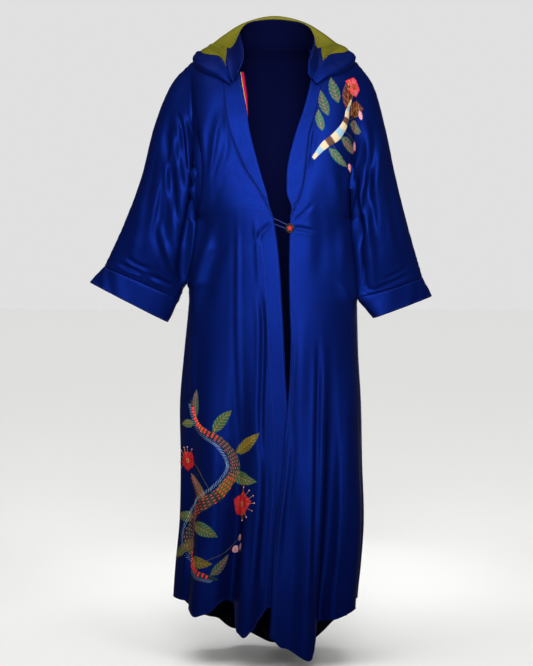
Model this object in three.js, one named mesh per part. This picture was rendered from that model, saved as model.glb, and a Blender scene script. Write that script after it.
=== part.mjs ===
// Hooded open-front satin robe, worn: hollow cloth walls in millimetres, +Z up.
// Origin: the middle of the neck, level with the top of the shoulders. -Y is the front.
import * as THREE from 'three';

// ---------------------------------------------------------------- driving dimensions
const CLOTH = 1.8; // satin panel wall
const BAND = 2.6; // folded front band and cuff, two layers
const LINING = 1.0; // hood lining, neck strip and hem facing
const SEAM = 0.3; // clear gap between sewn pieces
const UNDERARM_Z = -400;
const SIDE_SEAM_Y = 0;
const FRONT_SQUARE = 2.5; // squareness of a front quarter section, 2 is an ellipse
const BACK_SQUARE = 2.2;
const NECK_SHARE = 0.42; // share of the back's top edge that is neckline

const UPPER_ROWS = 7; // shoulder line to underarm
const LOWER_ROWS = 11; // underarm to hem
const FRONT_COLUMNS = 30;
const BACK_COLUMNS = 16;
const BAND_COLUMNS = 2;
const SLEEVE_COLUMNS = 7;
const CUFF_COLUMNS = 2;

const NECK_POINT = { x: 80, y: 0, z: -20 };
const NAPE = { x: 0, y: 78, z: -12 };

// Front edge and band seam above the underarm: v runs from the shoulder line down.
const NECKLINE = {
  left: [
    { v: 0.0, z: -20, y: 0, edge: -80, seam: -112 },
    { v: 0.15, z: -50, y: -62, edge: -78, seam: -113 },
    { v: 0.3, z: -98, y: -100, edge: -73, seam: -112 },
    { v: 0.45, z: -160, y: -118, edge: -62, seam: -107 },
    { v: 0.6, z: -213, y: -126, edge: -54, seam: -96 },
    { v: 0.75, z: -287, y: -131, edge: -35, seam: -66 },
    { v: 0.88, z: -345, y: -134, edge: -18, seam: -31 },
    { v: 1.0, z: -400, y: -136, edge: 1, seam: -3 },
  ],
  right: [
    { v: 0.0, z: -20, y: 0, edge: 80, seam: 112 },
    { v: 0.15, z: -50, y: -62, edge: 82, seam: 112 },
    { v: 0.3, z: -98, y: -102, edge: 81, seam: 106 },
    { v: 0.45, z: -160, y: -120, edge: 66, seam: 92 },
    { v: 0.6, z: -213, y: -130, edge: 48, seam: 77 },
    { v: 0.75, z: -287, y: -136, edge: 30, seam: 68 },
    { v: 0.88, z: -345, y: -139, edge: 28, seam: 58 },
    { v: 1.0, z: -400, y: -141, edge: 31, seam: 36 },
  ],
};

// Free front edges below the underarm. The right front laps over the left from z -840.
const FRONT_EDGE = {
  left: [
    { z: -400, x: -3, y: -136 },
    { z: -472, x: 8, y: -136.5 },
    { z: -605, x: 17, y: -136.5 },
    { z: -782, x: 26, y: -136 },
    { z: -850, x: 31, y: -136 },
    { z: -950, x: 30, y: -137 },
    { z: -1100, x: 20, y: -141 },
    { z: -1255, x: 8, y: -148 },
    { z: -1400, x: -4, y: -152 },
  ],
  right: [
    { z: -400, x: 36, y: -141 },
    { z: -472, x: 33, y: -142 },
    { z: -605, x: 35, y: -143 },
    { z: -670, x: 37, y: -143 },
    { z: -782, x: 33, y: -144 },
    { z: -883, x: 24, y: -146 },
    { z: -976, x: 17, y: -150 },
    { z: -1100, x: 2, y: -157 },
    { z: -1247, x: -5, y: -168 },
    { z: -1400, x: -14, y: -176 },
  ],
};

// Side seams and centre back below the underarm.
const SKIRT = [
  { z: -400, left: -172, right: 170, back: 122 },
  { z: -470, left: -176, right: 173, back: 122 },
  { z: -540, left: -188, right: 184, back: 124 },
  { z: -608, left: -194, right: 188, back: 126 },
  { z: -710, left: -204, right: 191, back: 128 },
  { z: -812, left: -212, right: 197, back: 130 },
  { z: -950, left: -209, right: 200, back: 133 },
  { z: -1085, left: -210, right: 204, back: 137 },
  { z: -1180, left: -218, right: 198, back: 140 },
  { z: -1260, left: -223, right: 190, back: 142 },
  { z: -1400, left: -226, right: 188, back: 146 },
];

// Centre back above the underarm.
const CENTRE_BACK = [
  { v: 0.0, z: -12, y: 78 },
  { v: 0.15, z: -45, y: 95 },
  { v: 0.3, z: -98, y: 106 },
  { v: 0.45, z: -155, y: 113 },
  { v: 0.6, z: -210, y: 118 },
  { v: 0.75, z: -285, y: 121 },
  { v: 1.0, z: -400, y: 122 },
];

// Height of the hem round each quarter: u runs from the front edge or centre back to the side.
const HEM = {
  frontLeft: [
    { u: 0.0, z: -1255 },
    { u: 0.06, z: -1262 },
    { u: 0.105, z: -1285 },
    { u: 0.14, z: -1312 },
    { u: 0.19, z: -1327 },
    { u: 0.235, z: -1316 },
    { u: 0.285, z: -1256 },
    { u: 0.34, z: -1251 },
    { u: 0.43, z: -1279 },
    { u: 0.5, z: -1286 },
    { u: 0.57, z: -1273 },
    { u: 0.66, z: -1257 },
    { u: 1.0, z: -1249 },
  ],
  frontRight: [
    { u: 0.0, z: -1325 },
    { u: 0.095, z: -1347 },
    { u: 0.28, z: -1375 },
    { u: 0.35, z: -1300 },
    { u: 0.465, z: -1290 },
    { u: 0.655, z: -1272 },
    { u: 1.0, z: -1257 },
  ],
  backLeft: [
    { u: 0.0, z: -1387 },
    { u: 0.24, z: -1358 },
    { u: 0.44, z: -1322 },
    { u: 0.75, z: -1268 },
    { u: 1.0, z: -1249 },
  ],
  backRight: [
    { u: 0.0, z: -1387 },
    { u: 0.31, z: -1380 },
    { u: 0.56, z: -1322 },
    { u: 0.8, z: -1270 },
    { u: 1.0, z: -1257 },
  ],
};

// Folds that open towards the hem. A positive depth is a ridge, a negative one a trough.
const HEM_FOLDS = {
  frontLeft: [
    { top: 0.14, hem: 0.185, width: 0.1, start: -640, depth: 15 },
    { top: 0.27, hem: 0.31, width: 0.085, start: -600, depth: -36 },
    { top: 0.46, hem: 0.5, width: 0.13, start: -520, depth: 18 },
    { top: 0.63, hem: 0.65, width: 0.07, start: -760, depth: -14 },
    { top: 0.84, hem: 0.84, width: 0.14, start: -560, depth: 8 },
  ],
  frontRight: [
    { top: 0.22, hem: 0.25, width: 0.12, start: -560, depth: 14 },
    { top: 0.36, hem: 0.39, width: 0.085, start: -600, depth: -32 },
    { top: 0.6, hem: 0.62, width: 0.15, start: -520, depth: 14 },
    { top: 0.84, hem: 0.84, width: 0.1, start: -760, depth: -8 },
  ],
  backLeft: [
    { top: 0.0, hem: 0.0, width: 0.1, start: -520, depth: -16 },
    { top: 0.2, hem: 0.21, width: 0.12, start: -460, depth: 18 },
    { top: 0.4, hem: 0.42, width: 0.1, start: -600, depth: -18 },
    { top: 0.6, hem: 0.63, width: 0.13, start: -500, depth: 16 },
    { top: 0.82, hem: 0.82, width: 0.1, start: -680, depth: -12 },
  ],
  backRight: [
    { top: 0.0, hem: 0.0, width: 0.1, start: -520, depth: -16 },
    { top: 0.17, hem: 0.18, width: 0.1, start: -560, depth: 15 },
    { top: 0.34, hem: 0.36, width: 0.1, start: -480, depth: -20 },
    { top: 0.56, hem: 0.58, width: 0.14, start: -540, depth: 18 },
    { top: 0.79, hem: 0.8, width: 0.1, start: -640, depth: -12 },
  ],
};

// Sleeve rings from armhole (s 0) to cuff seam (s 1) and cuff edge (s 2).
const SLEEVE = {
  left: [
    { s: 0.0, over: [-187, 0, -50], under: [-172, 0, -400], front: 82, back: 84 },
    { s: 0.2, over: [-232, 0, -100], under: [-181, 2, -440], front: 82, back: 80 },
    { s: 0.4, over: [-270, 0, -192], under: [-190, 4, -482], front: 78, back: 74 },
    { s: 0.6, over: [-300, 2, -308], under: [-198, 6, -520], front: 70, back: 66 },
    { s: 0.8, over: [-340, 4, -414], under: [-206, 8, -553], front: 58, back: 54 },
    { s: 1.0, over: [-384, 6, -509], under: [-214, 10, -584], front: 44, back: 42 },
    { s: 2.0, over: [-417, 8, -544], under: [-240, 8, -635], front: 40, back: 40 },
  ],
  right: [
    { s: 0.0, over: [187, 0, -50], under: [170, 0, -400], front: 82, back: 84 },
    { s: 0.2, over: [225, 4, -104], under: [176, -2, -440], front: 80, back: 82 },
    { s: 0.4, over: [252, 8, -198], under: [181, -8, -482], front: 76, back: 76 },
    { s: 0.6, over: [275, 14, -304], under: [186, -16, -520], front: 68, back: 68 },
    { s: 0.8, over: [304, 22, -418], under: [190, -24, -555], front: 56, back: 56 },
    { s: 1.0, over: [338, 32, -534], under: [193, -32, -584], front: 42, back: 44 },
    { s: 2.0, over: [360, 36, -576], under: [222, -34, -625], front: 38, back: 40 },
  ],
};

// Folds that fan from the shoulder down each sleeve: v is 0 over the arm and 1 under it.
const SLEEVE_FOLDS = {
  frontLeft: [
    { v: 0.3, width: 0.1, from: 0.1, to: 0.85, depth: -9 },
    { v: 0.48, width: 0.1, from: 0.0, to: 0.75, depth: -12 },
    { v: 0.62, width: 0.09, from: 0.05, to: 1.0, depth: 9 },
    { v: 0.76, width: 0.1, from: 0.1, to: 1.0, depth: -11 },
  ],
  frontRight: [
    { v: 0.34, width: 0.12, from: 0.15, to: 0.9, depth: 8 },
    { v: 0.52, width: 0.1, from: 0.0, to: 0.8, depth: -12 },
    { v: 0.68, width: 0.09, from: 0.1, to: 1.0, depth: 8 },
    { v: 0.8, width: 0.1, from: 0.1, to: 1.0, depth: -11 },
  ],
  backLeft: [
    { v: 0.3, width: 0.12, from: 0.1, to: 0.9, depth: -8 },
    { v: 0.52, width: 0.12, from: 0.0, to: 0.9, depth: 10 },
    { v: 0.74, width: 0.11, from: 0.05, to: 0.95, depth: -10 },
  ],
  backRight: [
    { v: 0.28, width: 0.12, from: 0.1, to: 0.85, depth: -8 },
    { v: 0.5, width: 0.12, from: 0.0, to: 0.9, depth: 9 },
    { v: 0.72, width: 0.11, from: 0.05, to: 0.95, depth: -11 },
  ],
};

// Hood lying back on the shoulders, one row for each section across it.
// edge: free face edge round the neck. crest: top of the roll. stand: how far it swells off
// the cloth. trough and fall lie on a quarter of the robe, given as quarter, u and v.
const HOOD = {
  columns: ['edge', 'crest', 'stand', 'trough', 'fall'],
  rows: [
    [[-84, -107, -88], [-97, -111, -95], 2, ['frontLeft', -0.55, 0.31], ['frontLeft', -0.35, 0.33]],
    [[-70, -97, -58], [-112, -92, -56], 6, ['frontLeft', -0.4, 0.26], ['frontLeft', 0.13, 0.28]],
    [[-68, -70, -28], [-127, -64, -38], 9, ['frontLeft', -0.4, 0.17], ['frontLeft', 0.45, 0.23]],
    [[-75, -36, 2], [-149, -25, -21], 10, ['frontLeft', -0.4, 0.07], ['frontLeft', 0.86, 0.13]],
    [[-77, -16, 16], [-147, 6, -14], 10, ['frontLeft', -0.4, 0], ['frontLeft', 0.9, 0]],
    [[-73, 6, 28], [-138, 40, -4], 12, ['backLeft', 0.48, 0.04], ['backLeft', 0.95, 0.15]],
    [[-58, 38, 44], [-113, 80, 20], 18, ['backLeft', 0.3, 0.03], ['backLeft', 0.82, 0.33]],
    [[-32, 60, 52], [-66, 114, 52], 26, ['backLeft', 0.15, 0.03], ['backLeft', 0.5, 0.52]],
    [[0, 68, 55], [0, 128, 68], 30, ['backLeft', 0, 0.03], ['backLeft', 0, 0.63]],
    [[32, 60, 52], [66, 114, 54], 26, ['backRight', 0.15, 0.03], ['backRight', 0.5, 0.52]],
    [[62, 38, 44], [112, 80, 24], 18, ['backRight', 0.3, 0.03], ['backRight', 0.82, 0.33]],
    [[80, 6, 30], [140, 40, -2], 12, ['backRight', 0.48, 0.04], ['backRight', 0.95, 0.15]],
    [[86, -16, 18], [150, 8, -10], 11, ['frontRight', -0.4, 0], ['frontRight', 0.9, 0]],
    [[90, -36, 4], [152, -22, -17], 11, ['frontRight', -0.4, 0.07], ['frontRight', 0.86, 0.13]],
    [[86, -64, -22], [129, -60, -34], 9, ['frontRight', -0.4, 0.17], ['frontRight', 0.45, 0.23]],
    [[76, -94, -54], [108, -92, -54], 6, ['frontRight', -0.4, 0.26], ['frontRight', 0.13, 0.28]],
    [[74, -106, -84], [84, -112, -92], 2, ['frontRight', -0.6, 0.31], ['frontRight', -0.4, 0.33]],
  ],
};
const HOOD_SECTIONS = 48; // three to a row, so that sections fall on the shoulder line
const HOOD_POINTS = 13;
const REST = 2.6; // height of the hood's top side where it rests on the cloth
const REACH = 30; // how far the cloth below is felt
const LINING_SPAN = { from: 3, to: 7, ends: 4 }; // section points and end sections

const NECK_STRIP = { from: 2 / 7, to: 4 / 7, rows: 6, behind: 9, shows: 9, slack: 0.3 };
const HEM_STRIP = { top: 1.973, slack: 0.4 };
const BUTTON = { x: 34, z: -424, radius: 10.5, thick: 3.4, rim: 1.3, bevel: 0.7, shank: 2.8, star: 7 };
const LOOP = { radius: 1.3, high: -402.5, low: -415, turn: 4.6, off: 0.8 };

const BLUE = { color: 0x1230a8, roughness: 0.36, metalness: 0 };
const CHARTREUSE = { color: 0x8a8a20, roughness: 0.34, metalness: 0 };
const CRIMSON = { color: 0xd4004a, roughness: 0.4, metalness: 0 };
const CHARCOAL = { color: 0x1a2230, roughness: 0.7, metalness: 0 };
const BLACK = { color: 0x0c0c0e, roughness: 0.25, metalness: 0 };
const GOLD = { color: 0xc8963c, roughness: 0.3, metalness: 1 };
const RED = { color: 0xc81e1e, roughness: 0.3, metalness: 0 };

// ---------------------------------------------------------------- small helpers
const clamp01 = (t) => Math.min(1, Math.max(0, t));
const ease = (t) => clamp01(t) ** 2 * (3 - 2 * clamp01(t));
const bump = (t) => (Math.abs(t) >= 1 ? 0 : Math.cos((t * Math.PI) / 2) ** 2);

// A smooth curve through one named column of a table, read at a value of its key column.
function column(rows, key, name) {
  const sorted = [...rows].sort((a, b) => a[key] - b[key]);
  const keys = sorted.map((row) => row[key]);
  const values = sorted.map((row) => row[name]);
  const curve = new THREE.CubicInterpolant(keys, values, 1, new Float64Array(1));
  return (at) => curve.evaluate(Math.min(keys.at(-1), Math.max(keys[0], at)))[0];
}

// The same, easing flat at each row, for a hem that steps between folds.
function steps(rows, key, name) {
  return (at) => {
    const after = rows.findIndex((row) => row[key] >= at);
    const next = rows[Math.max(1, after)];
    const last = rows[Math.max(1, after) - 1];
    const share = ease((at - last[key]) / (next[key] - last[key]));
    return last[name] + (next[name] - last[name]) * share;
  };
}

// A quarter of a squared ellipse: share across and share out at angle u of the quarter.
function quarter(u, square) {
  const angle = (u * Math.PI) / 2;
  const sine = Math.sin(angle);
  const cosine = Math.cos(angle);
  const reach = (sine ** square + Math.max(0, cosine) ** square) ** (-1 / square);
  return { across: reach * sine, out: reach * cosine };
}

const neckline = {};
const frontEdge = {};
const sleeveRing = {};
for (const side of ['left', 'right']) {
  neckline[side] = Object.fromEntries(
    ['z', 'y', 'edge', 'seam'].map((name) => [name, column(NECKLINE[side], 'v', name)]),
  );
  frontEdge[side] = {
    x: column(FRONT_EDGE[side], 'z', 'x'),
    y: column(FRONT_EDGE[side], 'z', 'y'),
  };
  const flat = SLEEVE[side].map((row) => ({
    ...row,
    overX: row.over[0],
    overY: row.over[1],
    overZ: row.over[2],
    underX: row.under[0],
    underY: row.under[1],
    underZ: row.under[2],
  }));
  const names = ['overX', 'overY', 'overZ', 'underX', 'underY', 'underZ', 'front', 'back'];
  const arm = flat.filter((row) => row.s <= 1);
  const cuff = flat.filter((row) => row.s >= 1);
  sleeveRing[side] = {
    arm: Object.fromEntries(names.map((name) => [name, column(arm, 's', name)])),
    cuff: Object.fromEntries(names.map((name) => [name, column(cuff, 's', name)])),
  };
}
const skirt = Object.fromEntries(
  ['left', 'right', 'back'].map((name) => [name, column(SKIRT, 'z', name)]),
);
const centreBack = { z: column(CENTRE_BACK, 'v', 'z'), y: column(CENTRE_BACK, 'v', 'y') };

const QUARTERS = {
  frontLeft: { side: 'left', front: true, turned: false },
  frontRight: { side: 'right', front: true, turned: true },
  backLeft: { side: 'left', front: false, turned: true },
  backRight: { side: 'right', front: false, turned: false },
};
for (const [name, quarterOf] of Object.entries(QUARTERS)) {
  quarterOf.hem = steps(HEM[name], 'u', 'z');
  quarterOf.folds = HEM_FOLDS[name];
  quarterOf.sleeveFolds = SLEEVE_FOLDS[name];
}

// ---------------------------------------------------------------- the cloth's form
// A point of a sleeve or cuff: s along the arm, v from over it to under it.
function sleevePoint(quarterOf, s, v) {
  const ring = s <= 1 ? sleeveRing[quarterOf.side].arm : sleeveRing[quarterOf.side].cuff;
  const over = new THREE.Vector3(ring.overX(s), ring.overY(s), ring.overZ(s));
  const under = new THREE.Vector3(ring.underX(s), ring.underY(s), ring.underZ(s));
  const middle = over.clone().add(under).multiplyScalar(0.5);
  const half = over.clone().sub(middle);
  const toward = quarterOf.front ? -1 : 1;
  let depth = quarterOf.front ? ring.front(s) : ring.back(s);
  for (const fold of quarterOf.sleeveFolds) {
    const along = Math.sin(Math.PI * clamp01((s - fold.from) / (fold.to - fold.from)));
    depth += fold.depth * along * bump((v - fold.v) / fold.width);
  }
  const shape = quarter(Math.abs(2 * v - 1), 2.2);
  const upward = v < 0.5 ? 1 : -1;
  return middle
    .addScaledVector(half, upward * shape.across)
    .add(new THREE.Vector3(0, toward * depth * shape.out, 0));
}

// A point of the skirt of a quarter at height z.
function skirtPoint(quarterOf, u, z) {
  const { side, front } = quarterOf;
  const inner = front
    ? { x: frontEdge[side].x(z), y: frontEdge[side].y(z) }
    : { x: 0, y: skirt.back(z) };
  const sideX = skirt[side](z);
  const square = front ? FRONT_SQUARE : BACK_SQUARE;
  const shape = quarter(u, square);
  const point = new THREE.Vector3(
    inner.x + (sideX - inner.x) * shape.across,
    SIDE_SEAM_Y + (inner.y - SIDE_SEAM_Y) * shape.out,
    z,
  );
  const outward = new THREE.Vector3(
    Math.sign(sideX) * (shape.across ** (square - 1) / Math.abs(sideX - inner.x)),
    Math.sign(inner.y) * (Math.max(0, shape.out) ** (square - 1) / Math.abs(inner.y)),
    0,
  ).normalize();
  let push = 0;
  for (const fold of quarterOf.folds) {
    const down = clamp01((z - fold.start) / (-1300 - fold.start));
    const centre = fold.top + (fold.hem - fold.top) * down;
    push += fold.depth * ease(down) * bump((u - centre) / fold.width);
  }
  return point.addScaledVector(outward, push);
}

// The top line of a quarter: neckline and shoulder on a back, shoulder alone on a front.
function topPoint(quarterOf, u) {
  const sign = quarterOf.side === 'left' ? -1 : 1;
  const shoulder = sleevePoint(quarterOf, 0, 0);
  const neck = new THREE.Vector3(sign * NECK_POINT.x, NECK_POINT.y, NECK_POINT.z);
  if (quarterOf.front) {
    neck.x = neckline[quarterOf.side].seam(0);
    return neck.lerp(shoulder, u);
  }
  if (u >= NECK_SHARE) {
    return neck.lerp(shoulder, (u - NECK_SHARE) / (1 - NECK_SHARE));
  }
  const round = quarter(u / NECK_SHARE, 2);
  return new THREE.Vector3(
    neck.x * round.across,
    NAPE.y * round.out,
    NECK_POINT.z + (NAPE.z - NECK_POINT.z) * round.out,
  );
}

function innerPoint(quarterOf, v) {
  if (!quarterOf.front) return new THREE.Vector3(0, centreBack.y(v), centreBack.z(v));
  const line = neckline[quarterOf.side];
  return new THREE.Vector3(line.seam(v), line.y(v), line.z(v));
}

// A quarter of the body above the underarm, spanned between its four border lines.
function chestPoint(quarterOf, u, v) {
  const top = topPoint(quarterOf, u);
  const bottom = skirtPoint(quarterOf, u, UNDERARM_Z);
  const inner = innerPoint(quarterOf, v);
  const outer = sleevePoint(quarterOf, 0, v);
  const corners = [
    [topPoint(quarterOf, 0), (1 - u) * (1 - v)],
    [topPoint(quarterOf, 1), u * (1 - v)],
    [skirtPoint(quarterOf, 0, UNDERARM_Z), (1 - u) * v],
    [skirtPoint(quarterOf, 1, UNDERARM_Z), u * v],
  ];
  const point = new THREE.Vector3()
    .addScaledVector(top, 1 - v)
    .addScaledVector(bottom, v)
    .addScaledVector(inner, 1 - u)
    .addScaledVector(outer, u);
  for (const [corner, weight] of corners) point.addScaledVector(corner, -weight);
  return point;
}

// A band point: u is -1 on the free edge and 0 on the seam.
function bandPoint(quarterOf, u, v) {
  const line = neckline[quarterOf.side];
  return new THREE.Vector3(line.seam(v) - u * (line.edge(v) - line.seam(v)), line.y(v), line.z(v));
}

// Any point of a quarter's body: v is 0 at the shoulder, 1 at the underarm, 2 at the hem.
function bodyPoint(quarterOf, u, v) {
  if (u < 0) return bandPoint(quarterOf, u, v);
  if (v <= 1) return chestPoint(quarterOf, u, v);
  const z = UNDERARM_Z + (quarterOf.hem(u) - UNDERARM_Z) * (v - 1);
  return skirtPoint(quarterOf, u, z);
}

// ---------------------------------------------------------------- cloth walls
const range = (from, to, count) =>
  Array.from({ length: count + 1 }, (_, i) => from + ((to - from) * i) / count);

// A surface of welded grids, with a piece name on each face and one normal a point.
class Surface {
  constructor() {
    this.points = [];
    this.faces = [];
    this.known = new Map();
  }

  index(point) {
    const key = point.toArray().map((value) => Math.round(value * 1000)).join(' ');
    if (!this.known.has(key)) {
      this.known.set(key, this.points.length);
      this.points.push(point.clone());
    }
    return this.known.get(key);
  }

  addGrid(piece, us, vs, pointAt, turned) {
    const grid = vs.map((v) => us.map((u) => this.index(pointAt(u, v))));
    for (let j = 0; j + 1 < vs.length; j += 1) {
      for (let i = 0; i + 1 < us.length; i += 1) {
        const [a, b] = [grid[j][i], grid[j][i + 1]];
        const [c, d] = [grid[j + 1][i + 1], grid[j + 1][i]];
        for (const face of [[a, b, c], [a, c, d]]) {
          if (new Set(face).size < 3) continue;
          this.faces.push({ piece, corners: turned ? face.reverse() : face });
        }
      }
    }
  }

  // Area-weighted normals over the whole garment, so that pieces meet squarely at seams.
  normals() {
    const sums = this.points.map(() => new THREE.Vector3());
    for (const { corners } of this.faces) {
      const [a, b, c] = corners.map((corner) => this.points[corner]);
      const across = b.clone().sub(a).cross(c.clone().sub(a));
      for (const corner of corners) sums[corner].add(across);
    }
    return sums.map((sum) => sum.normalize());
  }

  // A closed wall for one piece, with its border drawn back half a seam.
  wall(piece, thickness, normals, lift = 0) {
    const faces = this.faces.filter((face) => face.piece === piece).map((face) => face.corners);
    const border = new Map();
    for (const [a, b, c] of faces) {
      for (const [from, to, third] of [[a, b, c], [b, c, a], [c, a, b]]) {
        const twin = `${to} ${from}`;
        if (border.has(twin)) border.delete(twin);
        else border.set(`${from} ${to}`, { from, to, third });
      }
    }
    const inward = new Map();
    for (const { from, to, third } of border.values()) {
      const along = this.points[to].clone().sub(this.points[from]).normalize();
      const toThird = this.points[third].clone().sub(this.points[from]);
      const into = toThird.addScaledVector(along, -toThird.dot(along)).normalize();
      for (const end of [from, to]) {
        if (!inward.has(end)) inward.set(end, []);
        inward.get(end).push(into);
      }
    }
    const order = [...new Set(faces.flat())];
    const place = new Map(order.map((corner, i) => [corner, i]));
    const positions = [];
    const drawn = order.map((corner) => {
      const point = this.points[corner].clone().addScaledVector(normals[corner], lift);
      const pulls = inward.get(corner) ?? [];
      if (pulls.length === 2) {
        const sum = pulls[0].clone().add(pulls[1]);
        const share = Math.max(0.4, 1 + pulls[0].dot(pulls[1]));
        point.addScaledVector(sum, SEAM / 2 / share);
      }
      return point;
    });
    for (const point of drawn) positions.push(...point);
    order.forEach((corner, i) => {
      positions.push(...drawn[i].clone().addScaledVector(normals[corner], -thickness));
    });
    const inside = order.length;
    const triangles = [];
    for (const face of faces) {
      const [a, b, c] = face.map((corner) => place.get(corner));
      triangles.push(a, b, c, inside + c, inside + b, inside + a);
    }
    for (const edge of border.values()) {
      const a = place.get(edge.from);
      const b = place.get(edge.to);
      triangles.push(b, a, inside + a, b, inside + a, inside + b);
    }
    const geometry = new THREE.BufferGeometry();
    geometry.setAttribute('position', new THREE.Float32BufferAttribute(positions, 3));
    geometry.setIndex(triangles);
    return geometry;
  }
}

const robe = new THREE.Group();

function addPiece(name, geometry, look) {
  const mesh = new THREE.Mesh(geometry, new THREE.MeshStandardMaterial(look));
  mesh.name = name;
  robe.add(mesh);
  return mesh;
}

const upperRows = range(0, 1, UPPER_ROWS);
const lowerRows = range(1, 2, LOWER_ROWS);
const sleeveStops = range(0, 1, SLEEVE_COLUMNS);
const cuffStops = range(1, 2, CUFF_COLUMNS);

const PIECE_OF = {
  frontLeft: 'front_left',
  frontRight: 'front_right',
  backLeft: 'back',
  backRight: 'back',
};
const cloth = new Surface();
for (const [name, quarterOf] of Object.entries(QUARTERS)) {
  const columns = range(0, 1, quarterOf.front ? FRONT_COLUMNS : BACK_COLUMNS);
  const body = (u, v) => bodyPoint(quarterOf, u, v);
  const sleeve = (s, v) => sleevePoint(quarterOf, s, v);
  cloth.addGrid(PIECE_OF[name], columns, upperRows, body, quarterOf.turned);
  cloth.addGrid(PIECE_OF[name], columns, lowerRows, body, quarterOf.turned);
  cloth.addGrid(PIECE_OF[name], sleeveStops, upperRows, sleeve, quarterOf.turned);
  cloth.addGrid(`cuff_${quarterOf.side}`, cuffStops, upperRows, sleeve, quarterOf.turned);
  if (quarterOf.front) {
    const bandColumns = range(-1, 0, BAND_COLUMNS);
    cloth.addGrid(`front_band_${quarterOf.side}`, bandColumns, upperRows, body, quarterOf.turned);
  }
}
const clothNormals = cloth.normals();
// On the shoulder line front and back points differ, so their normals stay in its plane.
cloth.points.forEach((point, i) => {
  if (Math.abs(point.y) < 0.01 && point.z > -60) clothNormals[i].setY(0).normalize();
});

for (const piece of ['back', 'front_left', 'front_right']) {
  addPiece(piece, cloth.wall(piece, CLOTH, clothNormals), BLUE);
}
for (const side of ['left', 'right']) {
  addPiece(`cuff_${side}`, cloth.wall(`cuff_${side}`, BAND, clothNormals), BLUE);
  addPiece(`front_band_${side}`, cloth.wall(`front_band_${side}`, BAND, clothNormals), BLUE);
}

// ---------------------------------------------------------------- hood
function lifted(place, lift) {
  const [name, u, v] = place;
  const quarterOf = QUARTERS[name];
  const point = bodyPoint(quarterOf, u, v);
  const step = 0.004;
  const nextU = bodyPoint(quarterOf, u + step, v).sub(point);
  const nextV = bodyPoint(quarterOf, u, v + step).sub(point);
  const outward = nextU.cross(nextV).normalize();
  return point.addScaledVector(outward, quarterOf.turned ? -lift : lift);
}

const hoodTracks = ['edge', 'trough', 'crest', 'swell', 'belly', 'fall'];
const hoodRows = HOOD.rows.map((cells) => {
  const row = Object.fromEntries(HOOD.columns.map((name, i) => [name, cells[i]]));
  const crest = new THREE.Vector3(...row.crest);
  return {
    edge: new THREE.Vector3(...row.edge),
    trough: lifted(row.trough, REST),
    crest,
    swell: crest.clone().lerp(lifted(row.fall, REST + row.stand * 1.2), 0.5),
    belly: crest.clone().lerp(lifted(row.fall, REST + row.stand), 0.88),
    fall: lifted(row.fall, REST),
  };
});
const hoodCurves = Object.fromEntries(
  hoodTracks.map((track) => [
    track,
    new THREE.CatmullRomCurve3(hoodRows.map((row) => row[track]), false, 'centripetal'),
  ]),
);

// A point raised, where it must be, until it rests on the robe with the given height.
const robeTriangles = cloth.faces.map(({ corners }) => {
  const triangle = new THREE.Triangle(...corners.map((corner) => cloth.points[corner]));
  return { triangle, outward: triangle.getNormal(new THREE.Vector3()) };
});
function restingOnRobe(point, height) {
  const nearest = new THREE.Vector3();
  const found = { distance: Infinity };
  for (const { triangle, outward } of robeTriangles) {
    triangle.closestPointToPoint(point, nearest);
    const distance = nearest.distanceTo(point);
    if (distance >= found.distance) continue;
    found.distance = distance;
    found.outward = outward;
    found.over = point.clone().sub(nearest).dot(outward);
  }
  const rise = Math.max(0, height - found.over);
  return found.distance < REACH ? point.addScaledVector(found.outward, rise) : point;
}

function hoodPoint(along, across) {
  const section = hoodTracks.map((track) => hoodCurves[track].getPoint(along));
  const point = new THREE.CatmullRomCurve3(section, false, 'centripetal').getPoint(across);
  return restingOnRobe(restingOnRobe(point, REST), REST);
}

const hoodSurface = new Surface();
const hoodAlong = range(0, 1, HOOD_SECTIONS);
const hoodAcross = range(0, 1, HOOD_POINTS);
hoodSurface.addGrid('hood', hoodAlong, hoodAcross, hoodPoint, true);
const hoodNormals = hoodSurface.normals();
addPiece('hood', hoodSurface.wall('hood', CLOTH, hoodNormals), BLUE);

const liningSurface = new Surface();
const liningAcross = hoodAcross.slice(LINING_SPAN.from, LINING_SPAN.to + 1);
const liningAlong = hoodAlong.slice(LINING_SPAN.ends, -LINING_SPAN.ends);
liningSurface.addGrid('hood_lining', liningAlong, liningAcross, hoodPoint, true);
const liningNormals = liningSurface.points.map((point) => hoodNormals[hoodSurface.index(point)]);
const liningWall = liningSurface.wall('hood_lining', LINING, liningNormals, LINING + SEAM);
addPiece('hood_lining', liningWall, CHARTREUSE);

// ---------------------------------------------------------------- strips inside the robe
// A point under the cloth at (u, v), taken straight between the rows that the wall is made of.
function underRows(quarterOf, u, v, rows, depth) {
  const last = Math.max(0, rows.findLastIndex((row) => row <= v + 1e-9));
  const ends = [rows[last], rows[Math.min(last + 1, rows.length - 1)]];
  const share = ends[1] > ends[0] ? (v - ends[0]) / (ends[1] - ends[0]) : 0;
  const [above, below] = ends.map((row) => {
    const point = bodyPoint(quarterOf, u, row);
    const normal = clothNormals[cloth.index(point)];
    return point.addScaledVector(normal, -depth);
  });
  return above.lerp(below, share);
}

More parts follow.
